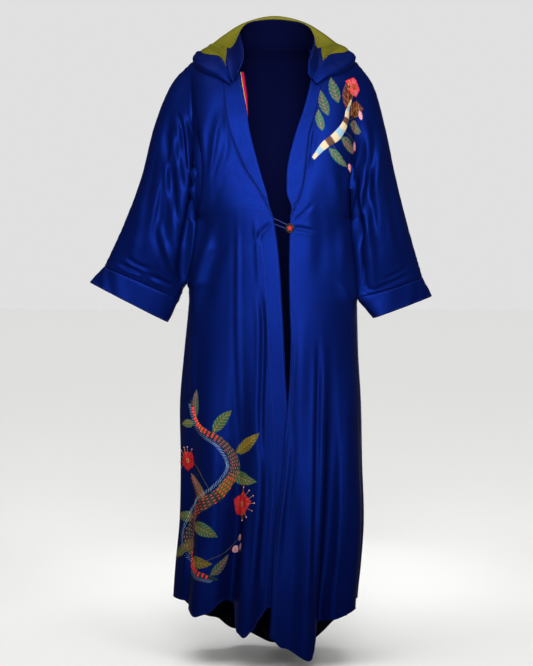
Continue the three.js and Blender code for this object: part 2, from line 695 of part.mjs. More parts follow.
// Crimson strip behind the left band, standing a little past its free edge.
const neckStrip = new Surface();
const neckStripPoint = (share, v) => {
  const down = (v - NECK_STRIP.from) / (NECK_STRIP.to - NECK_STRIP.from);
  const shows = NECK_STRIP.shows * Math.sin(Math.PI * clamp01(down));
  const depth = BAND + SEAM + NECK_STRIP.slack;
  const point = underRows(QUARTERS.frontLeft, -1, v, upperRows, depth);
  point.x += -NECK_STRIP.behind + share * (NECK_STRIP.behind + shows);
  return point;
};
const neckStripRows = range(NECK_STRIP.from, NECK_STRIP.to, NECK_STRIP.rows);
neckStrip.addGrid('neck_facing', [1, 0.5, 0], neckStripRows, neckStripPoint, false);
addPiece('neck_facing', neckStrip.wall('neck_facing', LINING, neckStrip.normals()), CRIMSON);

// Dark facing inside the back hem.
const hemStrip = new Surface();
for (const name of ['backLeft', 'backRight']) {
  const quarterOf = QUARTERS[name];
  const columns = range(0, 1, BACK_COLUMNS).slice(0, -1);
  const depth = CLOTH + SEAM + HEM_STRIP.slack;
  const inside = (u, v) => underRows(quarterOf, u, v, lowerRows, depth);
  hemStrip.addGrid('back_hem_facing', columns, [HEM_STRIP.top, 2], inside, quarterOf.turned);
}
const hemWall = hemStrip.wall('back_hem_facing', LINING, hemStrip.normals());
addPiece('back_hem_facing', hemWall, CHARCOAL);

// ---------------------------------------------------------------- button and loop
const frontY = frontEdge.right.y(BUTTON.z) - SEAM;
const loopY = frontY - LOOP.radius;
const discBack = loopY - LOOP.radius - SEAM;
const discFront = discBack - BUTTON.thick;
const discRadius = BUTTON.radius - BUTTON.rim - SEAM;

function addTurned(name, profile, look, segments = 28) {
  const points = profile.map(([radius, y]) => new THREE.Vector2(radius, y));
  const mesh = addPiece(name, new THREE.LatheGeometry(points, segments), look);
  mesh.position.set(BUTTON.x, 0, BUTTON.z);
  return mesh;
}

const discProfile = [
  [0, discFront],
  [discRadius - BUTTON.bevel, discFront],
  [discRadius, discFront + BUTTON.bevel],
  [discRadius, discBack],
  [BUTTON.shank, discBack],
  [BUTTON.shank, frontY],
  [0, frontY],
];
const rimProfile = [
  [discRadius + SEAM, discBack],
  [discRadius + SEAM, discFront],
  [BUTTON.radius - BUTTON.bevel, discFront - BUTTON.bevel],
  [BUTTON.radius, discFront + BUTTON.bevel],
  [BUTTON.radius, discBack],
  [discRadius + SEAM, discBack],
];
addTurned('button', discProfile, BLACK);
addTurned('button_rim', rimProfile, GOLD);

const STAR_POINTS = 5;
const starShape = new THREE.Shape(
  range(0, 2 * STAR_POINTS - 1, 2 * STAR_POINTS - 1).map((corner) => {
    const angle = Math.PI / 2 + (corner * Math.PI) / STAR_POINTS;
    const radius = corner % 2 ? BUTTON.star * 0.45 : BUTTON.star;
    return new THREE.Vector2(radius * Math.cos(angle), radius * Math.sin(angle));
  }),
);
const starSolid = new THREE.ExtrudeGeometry(starShape, { depth: 0.6, bevelEnabled: false });
const star = addPiece('button_star', starSolid, RED);
star.rotation.x = Math.PI / 2;
star.position.set(BUTTON.x, discFront - SEAM, BUTTON.z);

// The loop leaves the left edge, rounds the shank under the disc and comes back.
const edgeStart = (z) => {
  const x = frontEdge.left.x(z) + LOOP.off;
  return new THREE.Vector3(x, frontEdge.left.y(z) + CLOTH / 2, z);
};
const towardButton = new THREE.Vector2(BUTTON.x, BUTTON.z)
  .sub(new THREE.Vector2(frontEdge.left.x(LOOP.low), (LOOP.high + LOOP.low) / 2));
const heading = towardButton.angle();
const bend = range(0.62 * Math.PI, -0.62 * Math.PI, 6).map((turn) => {
  const angle = heading + turn;
  return new THREE.Vector3(
    BUTTON.x + LOOP.turn * Math.cos(angle),
    loopY,
    BUTTON.z + LOOP.turn * Math.sin(angle),
  );
});
const loopPoints = [
  edgeStart(LOOP.high),
  edgeStart(LOOP.high).lerp(bend[0], 0.5).setY(loopY + LOOP.radius),
  ...bend,
  edgeStart(LOOP.low).lerp(bend.at(-1), 0.5).setY(loopY + LOOP.radius),
  edgeStart(LOOP.low),
];
const CORD_SIDES = 10;
const cordSection = new THREE.Shape(
  range(0, 2 * Math.PI, CORD_SIDES).slice(1).map((angle) =>
    new THREE.Vector2(LOOP.radius * Math.cos(angle), LOOP.radius * Math.sin(angle))),
);
const loopSolid = new THREE.ExtrudeGeometry(cordSection, {
  steps: 44,
  bevelEnabled: false,
  extrudePath: new THREE.CatmullRomCurve3(loopPoints, false, 'centripetal'),
});
addPiece('button_loop', loopSolid, BLUE);

export default robe;
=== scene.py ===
"""Hooded open-front robe in blue satin, worn: its cloth, stitching, embroidery and fastening."""
import math

import bpy
import numpy as np
from bpy.props import FloatProperty, FloatVectorProperty, IntProperty, PointerProperty
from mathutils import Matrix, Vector
from mathutils.bvhtree import BVHTree


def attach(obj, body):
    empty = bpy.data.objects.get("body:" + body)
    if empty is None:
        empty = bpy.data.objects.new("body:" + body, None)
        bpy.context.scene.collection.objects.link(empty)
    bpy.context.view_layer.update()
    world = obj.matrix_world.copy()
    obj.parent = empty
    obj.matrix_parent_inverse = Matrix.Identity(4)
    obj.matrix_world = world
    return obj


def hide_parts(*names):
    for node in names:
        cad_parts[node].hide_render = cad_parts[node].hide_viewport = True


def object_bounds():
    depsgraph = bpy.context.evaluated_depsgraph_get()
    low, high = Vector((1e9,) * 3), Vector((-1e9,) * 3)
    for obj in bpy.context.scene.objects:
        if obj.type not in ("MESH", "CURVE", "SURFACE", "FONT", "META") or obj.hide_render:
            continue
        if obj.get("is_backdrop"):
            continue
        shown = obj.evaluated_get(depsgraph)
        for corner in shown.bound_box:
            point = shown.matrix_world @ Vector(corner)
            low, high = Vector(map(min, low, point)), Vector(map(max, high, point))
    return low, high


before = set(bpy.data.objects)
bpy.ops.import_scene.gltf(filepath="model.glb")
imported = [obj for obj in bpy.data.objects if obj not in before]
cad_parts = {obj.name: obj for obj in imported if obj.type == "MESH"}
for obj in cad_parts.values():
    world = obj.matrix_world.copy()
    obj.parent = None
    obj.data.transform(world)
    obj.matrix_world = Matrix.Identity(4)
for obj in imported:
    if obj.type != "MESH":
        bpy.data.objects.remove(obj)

bl_info = {
    "name": "Hooded Satin Robe",
    "version": (1, 0, 0),
    "blender": (4, 5, 0),
    "location": "3D View > Sidebar > Robe",
    "description": "Makes the cloth, stitching, embroidery and fastening of a worn hooded robe",
    "category": "Object",
}

CAD_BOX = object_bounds()
MM = 0.001

# ---------------------------------------------------------------- the cut, in millimetres
# The same named sizes and short tables as the solids have.
UNDERARM = -400.0
FRONT_SQUARE = 2.5
BACK_SQUARE = 2.2
NECK_SHARE = 0.42
NECK_POINT = (80.0, 0.0, -20.0)
NAPE = (78.0, -12.0)
CLOTH = 1.8
BAND = 2.6
LINING = 1.0
SEAM = 0.3
REST = 2.6  # how far the hood lies off the robe
REACH = 30.0  # how near the robe has to be for the hood to rest on it
SEAM_DEPTH, SEAM_REACH = 0.9, 2.6  # how far a seam sinks the cloth, and how far from it
GATHER = 0.75  # height of the gathers beside every seam
FOLDS_FULL = -1300  # where the hem's folds reach their whole depth
HAND = 90  # how far from the underarm's gap the cloth is drawn to it
UNDERARM_EASE = 95  # how far above and below the underarm the body is eased
BODY_ROUNDS, ARM_ROUNDS = 620, 260  # rounds of easing at the underarm and at the arm's start
STITCH_LIFT = 0.6  # how far a stitch stands off the cloth, in thread radii

NECKLINE_COLUMNS = ("v", "z", "y", "edge", "seam")
NECKLINE = {
    "left": [
        (0.0, -20, 0, -80, -112), (0.15, -50, -62, -78, -113), (0.3, -98, -100, -73, -112),
        (0.45, -160, -118, -62, -107), (0.6, -213, -126, -54, -96), (0.75, -287, -131, -35, -66),
        (0.88, -345, -134, -18, -31), (1.0, -400, -136, 1, -3),
    ],
    "right": [
        (0.0, -20, 0, 80, 112), (0.15, -50, -62, 82, 112), (0.3, -98, -102, 81, 106),
        (0.45, -160, -120, 66, 92), (0.6, -213, -130, 48, 77), (0.75, -287, -136, 30, 68),
        (0.88, -345, -139, 28, 58), (1.0, -400, -141, 31, 36),
    ],
}

FRONT_EDGE_COLUMNS = ("z", "x", "y")
FRONT_EDGE = {
    "left": [
        (-400, -3, -136), (-472, 8, -136.5), (-605, 17, -136.5), (-782, 26, -136),
        (-850, 31, -136), (-950, 30, -137), (-1100, 20, -141), (-1255, 8, -148),
        (-1400, -4, -152),
    ],
    "right": [
        (-400, 36, -141), (-472, 33, -142), (-605, 35, -143), (-670, 37, -143),
        (-782, 33, -144), (-883, 24, -146), (-976, 17, -150), (-1100, 2, -157),
        (-1247, -5, -168), (-1400, -14, -176),
    ],
}

SKIRT_COLUMNS = ("z", "left", "right", "back")
SKIRT = [
    (-400, -172, 170, 122), (-470, -176, 173, 122), (-540, -188, 184, 124),
    (-608, -194, 188, 126), (-710, -204, 191, 128), (-812, -212, 197, 130),
    (-950, -209, 200, 133), (-1085, -210, 204, 137), (-1180, -218, 198, 140),
    (-1260, -223, 190, 142), (-1400, -226, 188, 146),
]

CENTRE_BACK_COLUMNS = ("v", "z", "y")
CENTRE_BACK = [
    (0.0, -12, 78), (0.15, -45, 95), (0.3, -98, 106), (0.45, -155, 113),
    (0.6, -210, 118), (0.75, -285, 121), (1.0, -400, 122),
]

# Hem height at u, the share of the way from the front edge or centre back to the side seam.
HEM = {
    "front_left": [
        (0.0, -1255), (0.06, -1262), (0.105, -1285), (0.14, -1312), (0.19, -1327),
        (0.235, -1316), (0.285, -1256), (0.34, -1251), (0.43, -1279), (0.5, -1286),
        (0.57, -1273), (0.66, -1257), (1.0, -1249),
    ],
    "front_right": [
        (0.0, -1325), (0.095, -1347), (0.28, -1375), (0.35, -1300), (0.465, -1290),
        (0.655, -1272), (1.0, -1257),
    ],
    "back_left": [(0.0, -1387), (0.24, -1358), (0.44, -1322), (0.75, -1268), (1.0, -1249)],
    "back_right": [(0.0, -1387), (0.31, -1380), (0.56, -1322), (0.8, -1270), (1.0, -1257)],
}

# Folds that open towards the hem: top u, hem u, width, start height, depth.
HEM_FOLDS = {
    "front_left": [
        (0.14, 0.185, 0.1, -640, 15), (0.27, 0.31, 0.085, -600, -36),
        (0.46, 0.5, 0.13, -520, 18), (0.63, 0.65, 0.07, -760, -14), (0.84, 0.84, 0.14, -560, 8),
    ],
    "front_right": [
        (0.22, 0.25, 0.12, -560, 14), (0.36, 0.39, 0.085, -600, -32),
        (0.6, 0.62, 0.15, -520, 14), (0.84, 0.84, 0.1, -760, -8),
    ],
    "back_left": [
        (0.0, 0.0, 0.1, -520, -16), (0.2, 0.21, 0.12, -460, 18), (0.4, 0.42, 0.1, -600, -18),
        (0.6, 0.63, 0.13, -500, 16), (0.82, 0.82, 0.1, -680, -12),
    ],
    "back_right": [
        (0.0, 0.0, 0.1, -520, -16), (0.17, 0.18, 0.1, -560, 15), (0.34, 0.36, 0.1, -480, -20),
        (0.56, 0.58, 0.14, -540, 18), (0.79, 0.8, 0.1, -640, -12),
    ],
}

# Sleeve rings: s, over x y z, under x y z, front depth, back depth.
SLEEVE_COLUMNS = (
    "s", "over_x", "over_y", "over_z", "under_x", "under_y", "under_z", "front", "back",
)
SLEEVE = {
    "left": [
        (0.0, -187, 0, -50, -172, 0, -400, 82, 84), (0.2, -232, 0, -100, -181, 2, -440, 82, 80),
        (0.4, -270, 0, -192, -190, 4, -482, 78, 74), (0.6, -300, 2, -308, -198, 6, -520, 70, 66),
        (0.8, -340, 4, -414, -206, 8, -553, 58, 54), (1.0, -384, 6, -509, -214, 10, -584, 44, 42),
        (2.0, -417, 8, -544, -240, 8, -635, 40, 40),
    ],
    "right": [
        (0.0, 187, 0, -50, 170, 0, -400, 82, 84), (0.2, 225, 4, -104, 176, -2, -440, 80, 82),
        (0.4, 252, 8, -198, 181, -8, -482, 76, 76), (0.6, 275, 14, -304, 186, -16, -520, 68, 68),
        (0.8, 304, 22, -418, 190, -24, -555, 56, 56), (1.0, 338, 32, -534, 193, -32, -584, 42, 44),
        (2.0, 360, 36, -576, 222, -34, -625, 38, 40),
    ],
}

# Folds that fan down the sleeve: v, width, from s, to s, depth.
SLEEVE_FOLDS = {
    "front_left": [
        (0.3, 0.1, 0.1, 0.85, -9), (0.48, 0.1, 0.0, 0.75, -12), (0.62, 0.09, 0.05, 1.0, 9),
        (0.76, 0.1, 0.1, 1.0, -11),
    ],
    "front_right": [
        (0.34, 0.12, 0.15, 0.9, 8), (0.52, 0.1, 0.0, 0.8, -12), (0.68, 0.09, 0.1, 1.0, 8),
        (0.8, 0.1, 0.1, 1.0, -11),
    ],
    "back_left": [
        (0.3, 0.12, 0.1, 0.9, -8), (0.52, 0.12, 0.0, 0.9, 10), (0.74, 0.11, 0.05, 0.95, -10),
    ],
    "back_right": [
        (0.28, 0.12, 0.1, 0.85, -8), (0.5, 0.12, 0.0, 0.9, 9), (0.72, 0.11, 0.05, 0.95, -11),
    ],
}

# Hood sections of each quarter: edge, crest, stand, then trough and fall as u and v of the robe.
HOOD = {
    "front_left": [
        ((-84, -107, -88), (-97, -111, -95), 2, (-0.55, 0.31), (-0.35, 0.33)),
        ((-70, -97, -58), (-112, -92, -56), 6, (-0.4, 0.26), (0.13, 0.28)),
        ((-68, -70, -28), (-127, -64, -38), 9, (-0.4, 0.17), (0.45, 0.23)),
        ((-75, -36, 2), (-149, -25, -21), 10, (-0.4, 0.07), (0.86, 0.13)),
        ((-77, -16, 16), (-147, 6, -14), 10, (-0.4, 0), (0.9, 0)),
    ],
    "back_left": [
        ((-73, 6, 28), (-138, 40, -4), 12, (0.48, 0.04), (0.95, 0.15)),
        ((-58, 38, 44), (-113, 80, 20), 18, (0.3, 0.03), (0.82, 0.33)),
        ((-32, 60, 52), (-66, 114, 52), 26, (0.15, 0.03), (0.5, 0.52)),
        ((0, 68, 55), (0, 128, 68), 30, (0, 0.03), (0, 0.63)),
    ],
    "back_right": [
        ((32, 60, 52), (66, 114, 54), 26, (0.15, 0.03), (0.5, 0.52)),
        ((62, 38, 44), (112, 80, 24), 18, (0.3, 0.03), (0.82, 0.33)),
        ((80, 6, 30), (140, 40, -2), 12, (0.48, 0.04), (0.95, 0.15)),
    ],
    "front_right": [
        ((86, -16, 18), (150, 8, -10), 11, (-0.4, 0), (0.9, 0)),
        ((90, -36, 4), (152, -22, -17), 11, (-0.4, 0.07), (0.86, 0.13)),
        ((86, -64, -22), (129, -60, -34), 9, (-0.4, 0.17), (0.45, 0.23)),
        ((76, -94, -54), (108, -92, -54), 6, (-0.4, 0.26), (0.13, 0.28)),
        ((74, -106, -84), (84, -112, -92), 2, (-0.6, 0.31), (-0.4, 0.33)),
    ],
}
LINING_ACROSS = (3 / 13, 7 / 13)
LINING_ALONG = (4 / 48, 44 / 48)
LINING_MIDDLE = 0.3  # where across the hood the lining's ends come to a point

# ---------------------------------------------------------------- creases, in millimetres
# Each crease: its line as (x, z) seen from the front, half width, height of the ridge (a trough
# is negative), and lean, which steepens one side of it.
CREASES = {
    "front_left": [
        ([(-186, -150), (-177, -240), (-175, -320), (-182, -375), (-194, -430), (-206, -500),
          (-220, -580)], 11, -20, 0.4),
        ([(-110, -152), (-121, -187), (-134, -253), (-146, -354), (-157, -428)], 10, 3.5, 0.5),
        ([(-102, -191), (-108, -253), (-124, -308), (-135, -362)], 7, 2.2, 0.4),
        ([(-115, -170), (-126, -253), (-139, -330)], 5, -2, 0),
        ([(-180, -108), (-180, -154), (-178, -205)], 5, -1.5, 0),
        ([(-126, -373), (-150, -461), (-170, -527), (-179, -582), (-183, -648)], 11, 5, 0.4),
        ([(-110, -439), (-141, -527), (-157, -626)], 14, -4, 0),
        ([(-82, -373), (-82, -494), (-82, -644), (-78, -803), (-73, -958)], 5, 2.6, 1.2),
        ([(-179, -631), (-183, -714), (-183, -814)], 7, 3, 0.3),
        ([(-34, -549), (-27, -626), (-27, -714), (-31, -847), (-27, -980)], 6, -5, 1),
        ([(-44, -395), (-38, -472), (-34, -560)], 5, 1.6, 0.2),
        ([(-73, -891), (-67, -1024), (-71, -1157), (-78, -1291)], 8, 4, 1),
        ([(-16, -869), (-16, -1013), (-25, -1142), (-34, -1255)], 9, -5, -0.6),
        ([(-190, -891), (-195, -1024), (-186, -1157), (-182, -1246)], 8, -4, 0.6),
        ([(-131, -869), (-133, -1024), (-140, -1179)], 13, 4, 0.3),
        ([(-5, -411), (-27, -433), (-53, -472)], 6, -1.6, 0.3),
        ([(-231, -161), (-240, -231), (-251, -308), (-260, -389), (-273, -472)], 8, -5, 0.5),
        ([(-220, -165), (-207, -200), (-198, -275), (-190, -319)], 5, -6, 0.6),
        ([(-196, -170), (-183, -222), (-174, -275), (-170, -323)], 5, -5, 0.5),
        ([(-244, -198), (-233, -286), (-220, -373), (-205, -450)], 7, -5, -0.4),
        ([(-224, -209), (-216, -286), (-207, -362)], 6, 4, 0.4),
        ([(-266, -389), (-247, -461), (-227, -516), (-212, -551)], 8, 5, 0.8),
        ([(-291, -340), (-304, -417), (-328, -499)], 12, 4, 0.3),
        ([(-355, -500), (-322, -515), (-295, -524)], 4.5, -4.2, 0.5),
        ([(-335, -485), (-309, -505), (-273, -516)], 4.5, -3.6, 0.4),
        ([(-284, -529), (-251, -543), (-225, -556)], 5, -3.6, 0.4),
    ],
    "front_right": [
        ([(203, -205), (186, -290), (178, -350), (184, -400), (192, -450), (201, -520),
          (210, -600)], 11, -20, -0.4),
        ([(122, -275), (140, -362), (151, -461), (147, -549)], 12, 4, 0.5),
        ([(96, -310), (105, -428), (101, -560)], 16, -3, 0.0),
        ([(39, -424), (61, -426), (96, -435)], 5, -2.2, 0.4),
        ([(41, -415), (65, -393), (92, -362)], 5, -1.2, 0.2),
        ([(134, -538), (156, -565), (171, -609), (178, -648)], 8, 3.5, 0.4),
        ([(99, -648), (101, -741), (99, -847), (97, -991), (90, -1217), (86, -1357)], 7, -6, -1.2),
        ([(35, -847), (28, -958), (15, -1068), (2, -1224)], 7, 3, 0.2),
        ([(63, -582), (59, -759), (57, -958), (50, -1157)], 16, 4, 0),
        ([(156, -714), (161, -869), (159, -1024), (154, -1202)], 12, 3.5, 0.4),
        ([(132, -803), (132, -958), (126, -1113), (123, -1246)], 12, -4, 0),
        ([(201, -154), (223, -220), (215, -297), (197, -395), (189, -472)], 9, -6, 0.5),
        ([(215, -253), (228, -362), (237, -472)], 11, 5, 0.4),
        ([(184, -253), (193, -330), (204, -417)], 6, -4, 0.4),
        ([(250, -297), (268, -395), (283, -483)], 9, -4, 0.2),
        ([(231, -560), (268, -545), (316, -521)], 5, -4.4, 0.8),
        ([(244, -540), (277, -525), (312, -503)], 4.5, -3.8, 0.5),
        ([(198, -543), (215, -560), (242, -560)], 4, -2.2, 0.4),
    ],
    "back": [
        ([(-182, -230), (-177, -300), (-178, -360), (-186, -430)], 8, -15, 0.3),
        ([(180, -250), (175, -320), (176, -380), (184, -440)], 8, -15, -0.3),
        ([(-20, -240), (-26, -360), (-18, -520), (-24, -640)], 13, 4, 0.3),
        ([(38, -250), (52, -380), (60, -540)], 11, 3.6, -0.4),
        ([(84, -200), (112, -300), (146, -390)], 12, -4.5, 0.4),
        ([(-92, -190), (-120, -290), (-150, -392)], 12, -4.5, 0.3),
        ([(-118, -420), (-104, -560), (-112, -700)], 12, 4, 0.3),
        ([(128, -430), (120, -580), (126, -740)], 13, 4, 0.4),
        ([(-60, -520), (-58, -700), (-64, -900)], 10, -4, 0.6),
        ([(18, -560), (14, -760), (20, -980)], 9, 3.2, 0.8),
        ([(86, -620), (92, -800), (88, -1010)], 11, -4.5, 0.5),
        ([(-160, -640), (-166, -820), (-160, -1010)], 10, 3.6, 0.4),
        ([(-20, -900), (-26, -1080), (-30, -1300)], 12, 4, 0.5),
        ([(150, -840), (156, -1010), (150, -1200)], 11, 3.6, 0.5),
        ([(-110, -960), (-116, -1120), (-122, -1280)], 10, -4, 0.4),
        ([(-214, -150), (-226, -240), (-222, -340), (-206, -440)], 9, -6, 0.5),
        ([(-246, -190), (-262, -290), (-280, -400)], 10, 4.5, 0.4),
        ([(-236, -330), (-244, -420), (-232, -520)], 9, -5, 0.6),
        ([(-300, -360), (-316, -430), (-340, -500)], 11, 4, 0.3),
        ([(-352, -500), (-318, -518), (-284, -530)], 5, -2.4, 0.5),
        ([(212, -150), (226, -240), (216, -340), (200, -440)], 9, -6, 0.5),
        ([(236, -190), (250, -290), (262, -400)], 10, 4.5, 0.4),
        ([(222, -330), (230, -430), (216, -520)], 9, -5, 0.6),
        ([(278, -380), (288, -450), (304, -520)], 10, 3.6, 0.3),
        ([(240, -556), (272, -540), (308, -520)], 5, -2.6, 0.6),
    ],
}
# The hood's creases: share along it, share across it at both ends, half width, height.
HOOD_CREASES = [
    (0.14, 0.62, 0.20, 0.86, 7, -2.6), (0.22, 0.55, 0.27, 0.8, 8, 3.2),
    (0.33, 0.55, 0.39, 0.94, 16, -5.5), (0.41, 0.5, 0.45, 0.97, 18, 5.5),
    (0.49, 0.56, 0.5, 0.97, 13, -4.5), (0.58, 0.5, 0.55, 0.97, 19, 6),
    (0.66, 0.55, 0.61, 0.94, 16, -5.5),
    (0.74, 0.55, 0.7, 0.86, 8, -3.0), (0.83, 0.55, 0.79, 0.84, 7, 3.0),
    (0.9, 0.6, 0.85, 0.86, 6, -2.4), (0.29, 0.22, 0.3, 0.5, 8, 2.4),
]

# Under the arms the sleeve hangs against the body: height, middle of the gap, share closed.
UNDERARM_GAP = {
    -1: [(-620, -203, 0), (-584, -203, 0), (-560, -199, 0.3), (-545, -195, 1), (-520, -189, 1),
         (-482, -182, 1), (-440, -176, 1), (-410, -173, 1), (-401, -172.3, 0)],
    1: [(-620, 190, 0), (-592, 188, 0.3), (-578, 187, 1), (-555, 185.5, 1), (-520, 181, 1),
        (-482, 175, 1), (-440, 171.5, 1), (-410, 170.5, 1), (-401, 170.2, 0)],
}
UNDERARM_LAP = 1.6

# Gathers along a sewn line: part, its u or s, from v, to v, distance from it, reach, pitch, height,
# slant.
PUCKERS = {
    "front_left": [
        ("body", 0.0, 0.68, 1.02, 26, 9, 9.5, 0.9, 0.25), ("body", 0.0, 1.0, 1.5, 34, 6, 12, 0.8, 0.5),
        ("body", 1.0, 1.08, 1.23, 7, 7, 9, 1.3, 0.4), ("body", 0.0, 1.0, 2.0, 3, 4, 15, 0.4, 0.6),
    ],
    "front_right": [
        ("body", 0.0, 0.42, 0.9, 10, 9, 12, 1.0, -0.9), ("body", 0.0, 1.0, 2.0, 7, 5, 11, 0.5, 0.6),
        ("body", 1.0, 1.09, 1.19, 7, 7, 9, 1.5, -0.4),
    ],
    "back": [],
}

# Each cut panel's runs of columns: quarter, part, columns, columns left out, outward or back.
PANELS = {
    "front_left": [("front_left", "sleeve", 72, 1, False), ("front_left", "body", 96, 0, False)],
    "front_right": [("front_right", "body", 96, 0, True), ("front_right", "sleeve", 72, 1, True)],
    "back": [
        ("back_left", "sleeve", 66, 1, False), ("back_left", "body", 66, 0, False),
        ("back_right", "body", 66, 1, True), ("back_right", "sleeve", 66, 1, True),
    ],
}


# ---------------------------------------------------------------- curves and small sums
def ease(t):
    t = np.clip(t, 0, 1)
    return t * t * (3 - 2 * t)


def bump(t):
    return np.where(np.abs(t) >= 1, 0, np.cos(np.clip(t, -1, 1) * math.pi / 2) ** 2)


def bell(t):
    return np.exp(-(t**2))


def dome(share, power):
    return 1 - np.abs(share) ** power


def mix(a, b, t):
    return a + (b - a) * np.asarray(t)[..., None]


def unit(vectors):
    return vectors / np.maximum(np.linalg.norm(vectors, axis=-1, keepdims=True), 1e-9)


def grids(*values):
    return np.broadcast_arrays(*(np.asarray(value, float) for value in values))


def triple(x, y, z):
    return np.stack(np.broadcast_arrays(x, y, z), -1).astype(float)


def compass(degrees):
    return np.array([math.cos(math.radians(degrees)), math.sin(math.radians(degrees))])


def cubic(keys, values):
    """A smooth curve through the values, which flattens its bend at both ends."""
    order = np.argsort(keys)
    keys, values = np.array(keys, float)[order], np.array(values, float)[order]
    last = len(keys) - 1

    def at(x):
        x = np.clip(x, keys[0], keys[-1])
        i = np.clip(np.searchsorted(keys, x, side="right"), 1, last)
        t0, t1 = keys[i - 1], keys[i]
        before, after = np.where(i >= 2, i - 2, i), np.where(i < last, i + 1, i - 1)
        half = (t1 - t0) / 2
        w0, w1 = half / (t0 - keys[before]), half / (keys[after] - t1)
        p = (x - t0) / (t1 - t0)
        p2, p3 = p * p, p * p * p
        return (
            (-w0 * p3 + 2 * w0 * p2 - w0 * p) * values[before]
            + ((1 + w0) * p3 + (-1.5 - 2 * w0) * p2 + (-0.5 + w0) * p + 1) * values[i - 1]
            + ((-1 - w1) * p3 + (1.5 + w1) * p2 + 0.5 * p) * values[i]
            + (w1 * p3 - w1 * p2) * values[after]
        )

    return at


def curves_of(columns, rows):
    """One smooth curve for each column of a table but the first, read at the first."""
    cells = list(zip(*rows))
    return {name: cubic(cells[0], cells[i + 1]) for i, name in enumerate(columns[1:])}


def stepped(rows):
    """A curve that eases flat at each row, for a hem that steps between folds."""
    keys, values = (np.array(cells, float) for cells in zip(*rows))

    def at(x):
        i = np.clip(np.searchsorted(keys, x, side="left"), 1, len(keys) - 1)
        share = ease((x - keys[i - 1]) / (keys[i] - keys[i - 1]))
        return values[i - 1] + (values[i] - values[i - 1]) * share

    return at


def quarter_round(u, square):
    """Share across and share out at u of a quarter of a squared ellipse."""
    angle = np.asarray(u, float) * math.pi / 2
    sine, cosine = np.sin(angle), np.maximum(0, np.cos(angle))
    reach = (sine**square + cosine**square) ** (-1 / square)
    return reach * sine, reach * cosine


def centripetal(points, at):
    """Points at shares along a centripetal Catmull-Rom curve."""
    points = np.asarray(points, float)
    line = np.concatenate([[2 * points[0] - points[1]], points, [2 * points[-1] - points[-2]]])
    place = np.clip(np.asarray(at, float), 0, 1) * (len(points) - 1)
    i = np.minimum(place.astype(int), len(points) - 2)
    t = (place - i)[:, None]
    p0, p1, p2, p3 = (line[i + k] for k in range(4))
    d0, d1, d2 = (
        np.maximum(np.linalg.norm(b - a, axis=1), 1e-6)[:, None] ** 0.5
        for a, b in ((p0, p1), (p1, p2), (p2, p3))
    )
    t1 = ((p1 - p0) / d0 - (p2 - p0) / (d0 + d1) + (p2 - p1) / d1) * d1
    t2 = ((p2 - p1) / d1 - (p3 - p1) / (d1 + d2) + (p3 - p2) / d2) * d1
    c2, c3 = -3 * p1 + 3 * p2 - 2 * t1 - t2, 2 * p1 - 2 * p2 + t1 + t2
    return p1 + t1 * t + c2 * t**2 + c3 * t**3


def tight_ends(count, share=0.55):
    """Shares from 0 to 1, closer together at both ends, where the seams are."""
    t = np.linspace(0, 1, count)
    return t - share * np.sin(2 * math.pi * t) / (2 * math.pi)


def uneven_wave(along, pitch):
    """A wave whose pitch and height wander, for gathers beside a seam."""
    turns = 2 * math.pi * along / pitch
    return np.sin(turns + 1.6 * np.sin(turns / 3.7)) * (0.65 + 0.35 * np.sin(turns / 5.3 + 1.0))


def summed(steps, axis=0):
    """Length from the start to each place, from the lengths of the steps."""
    return np.concatenate([np.zeros_like(np.take(steps, [0], axis)), np.cumsum(steps, axis)], axis)


def relax(lines, weight, times):
    """Eases each line between the first and last towards the middle of its neighbours."""
    for _ in range(times):
        lines[1:-1] += weight * ((lines[:-2] + lines[2:]) / 2 - lines[1:-1])


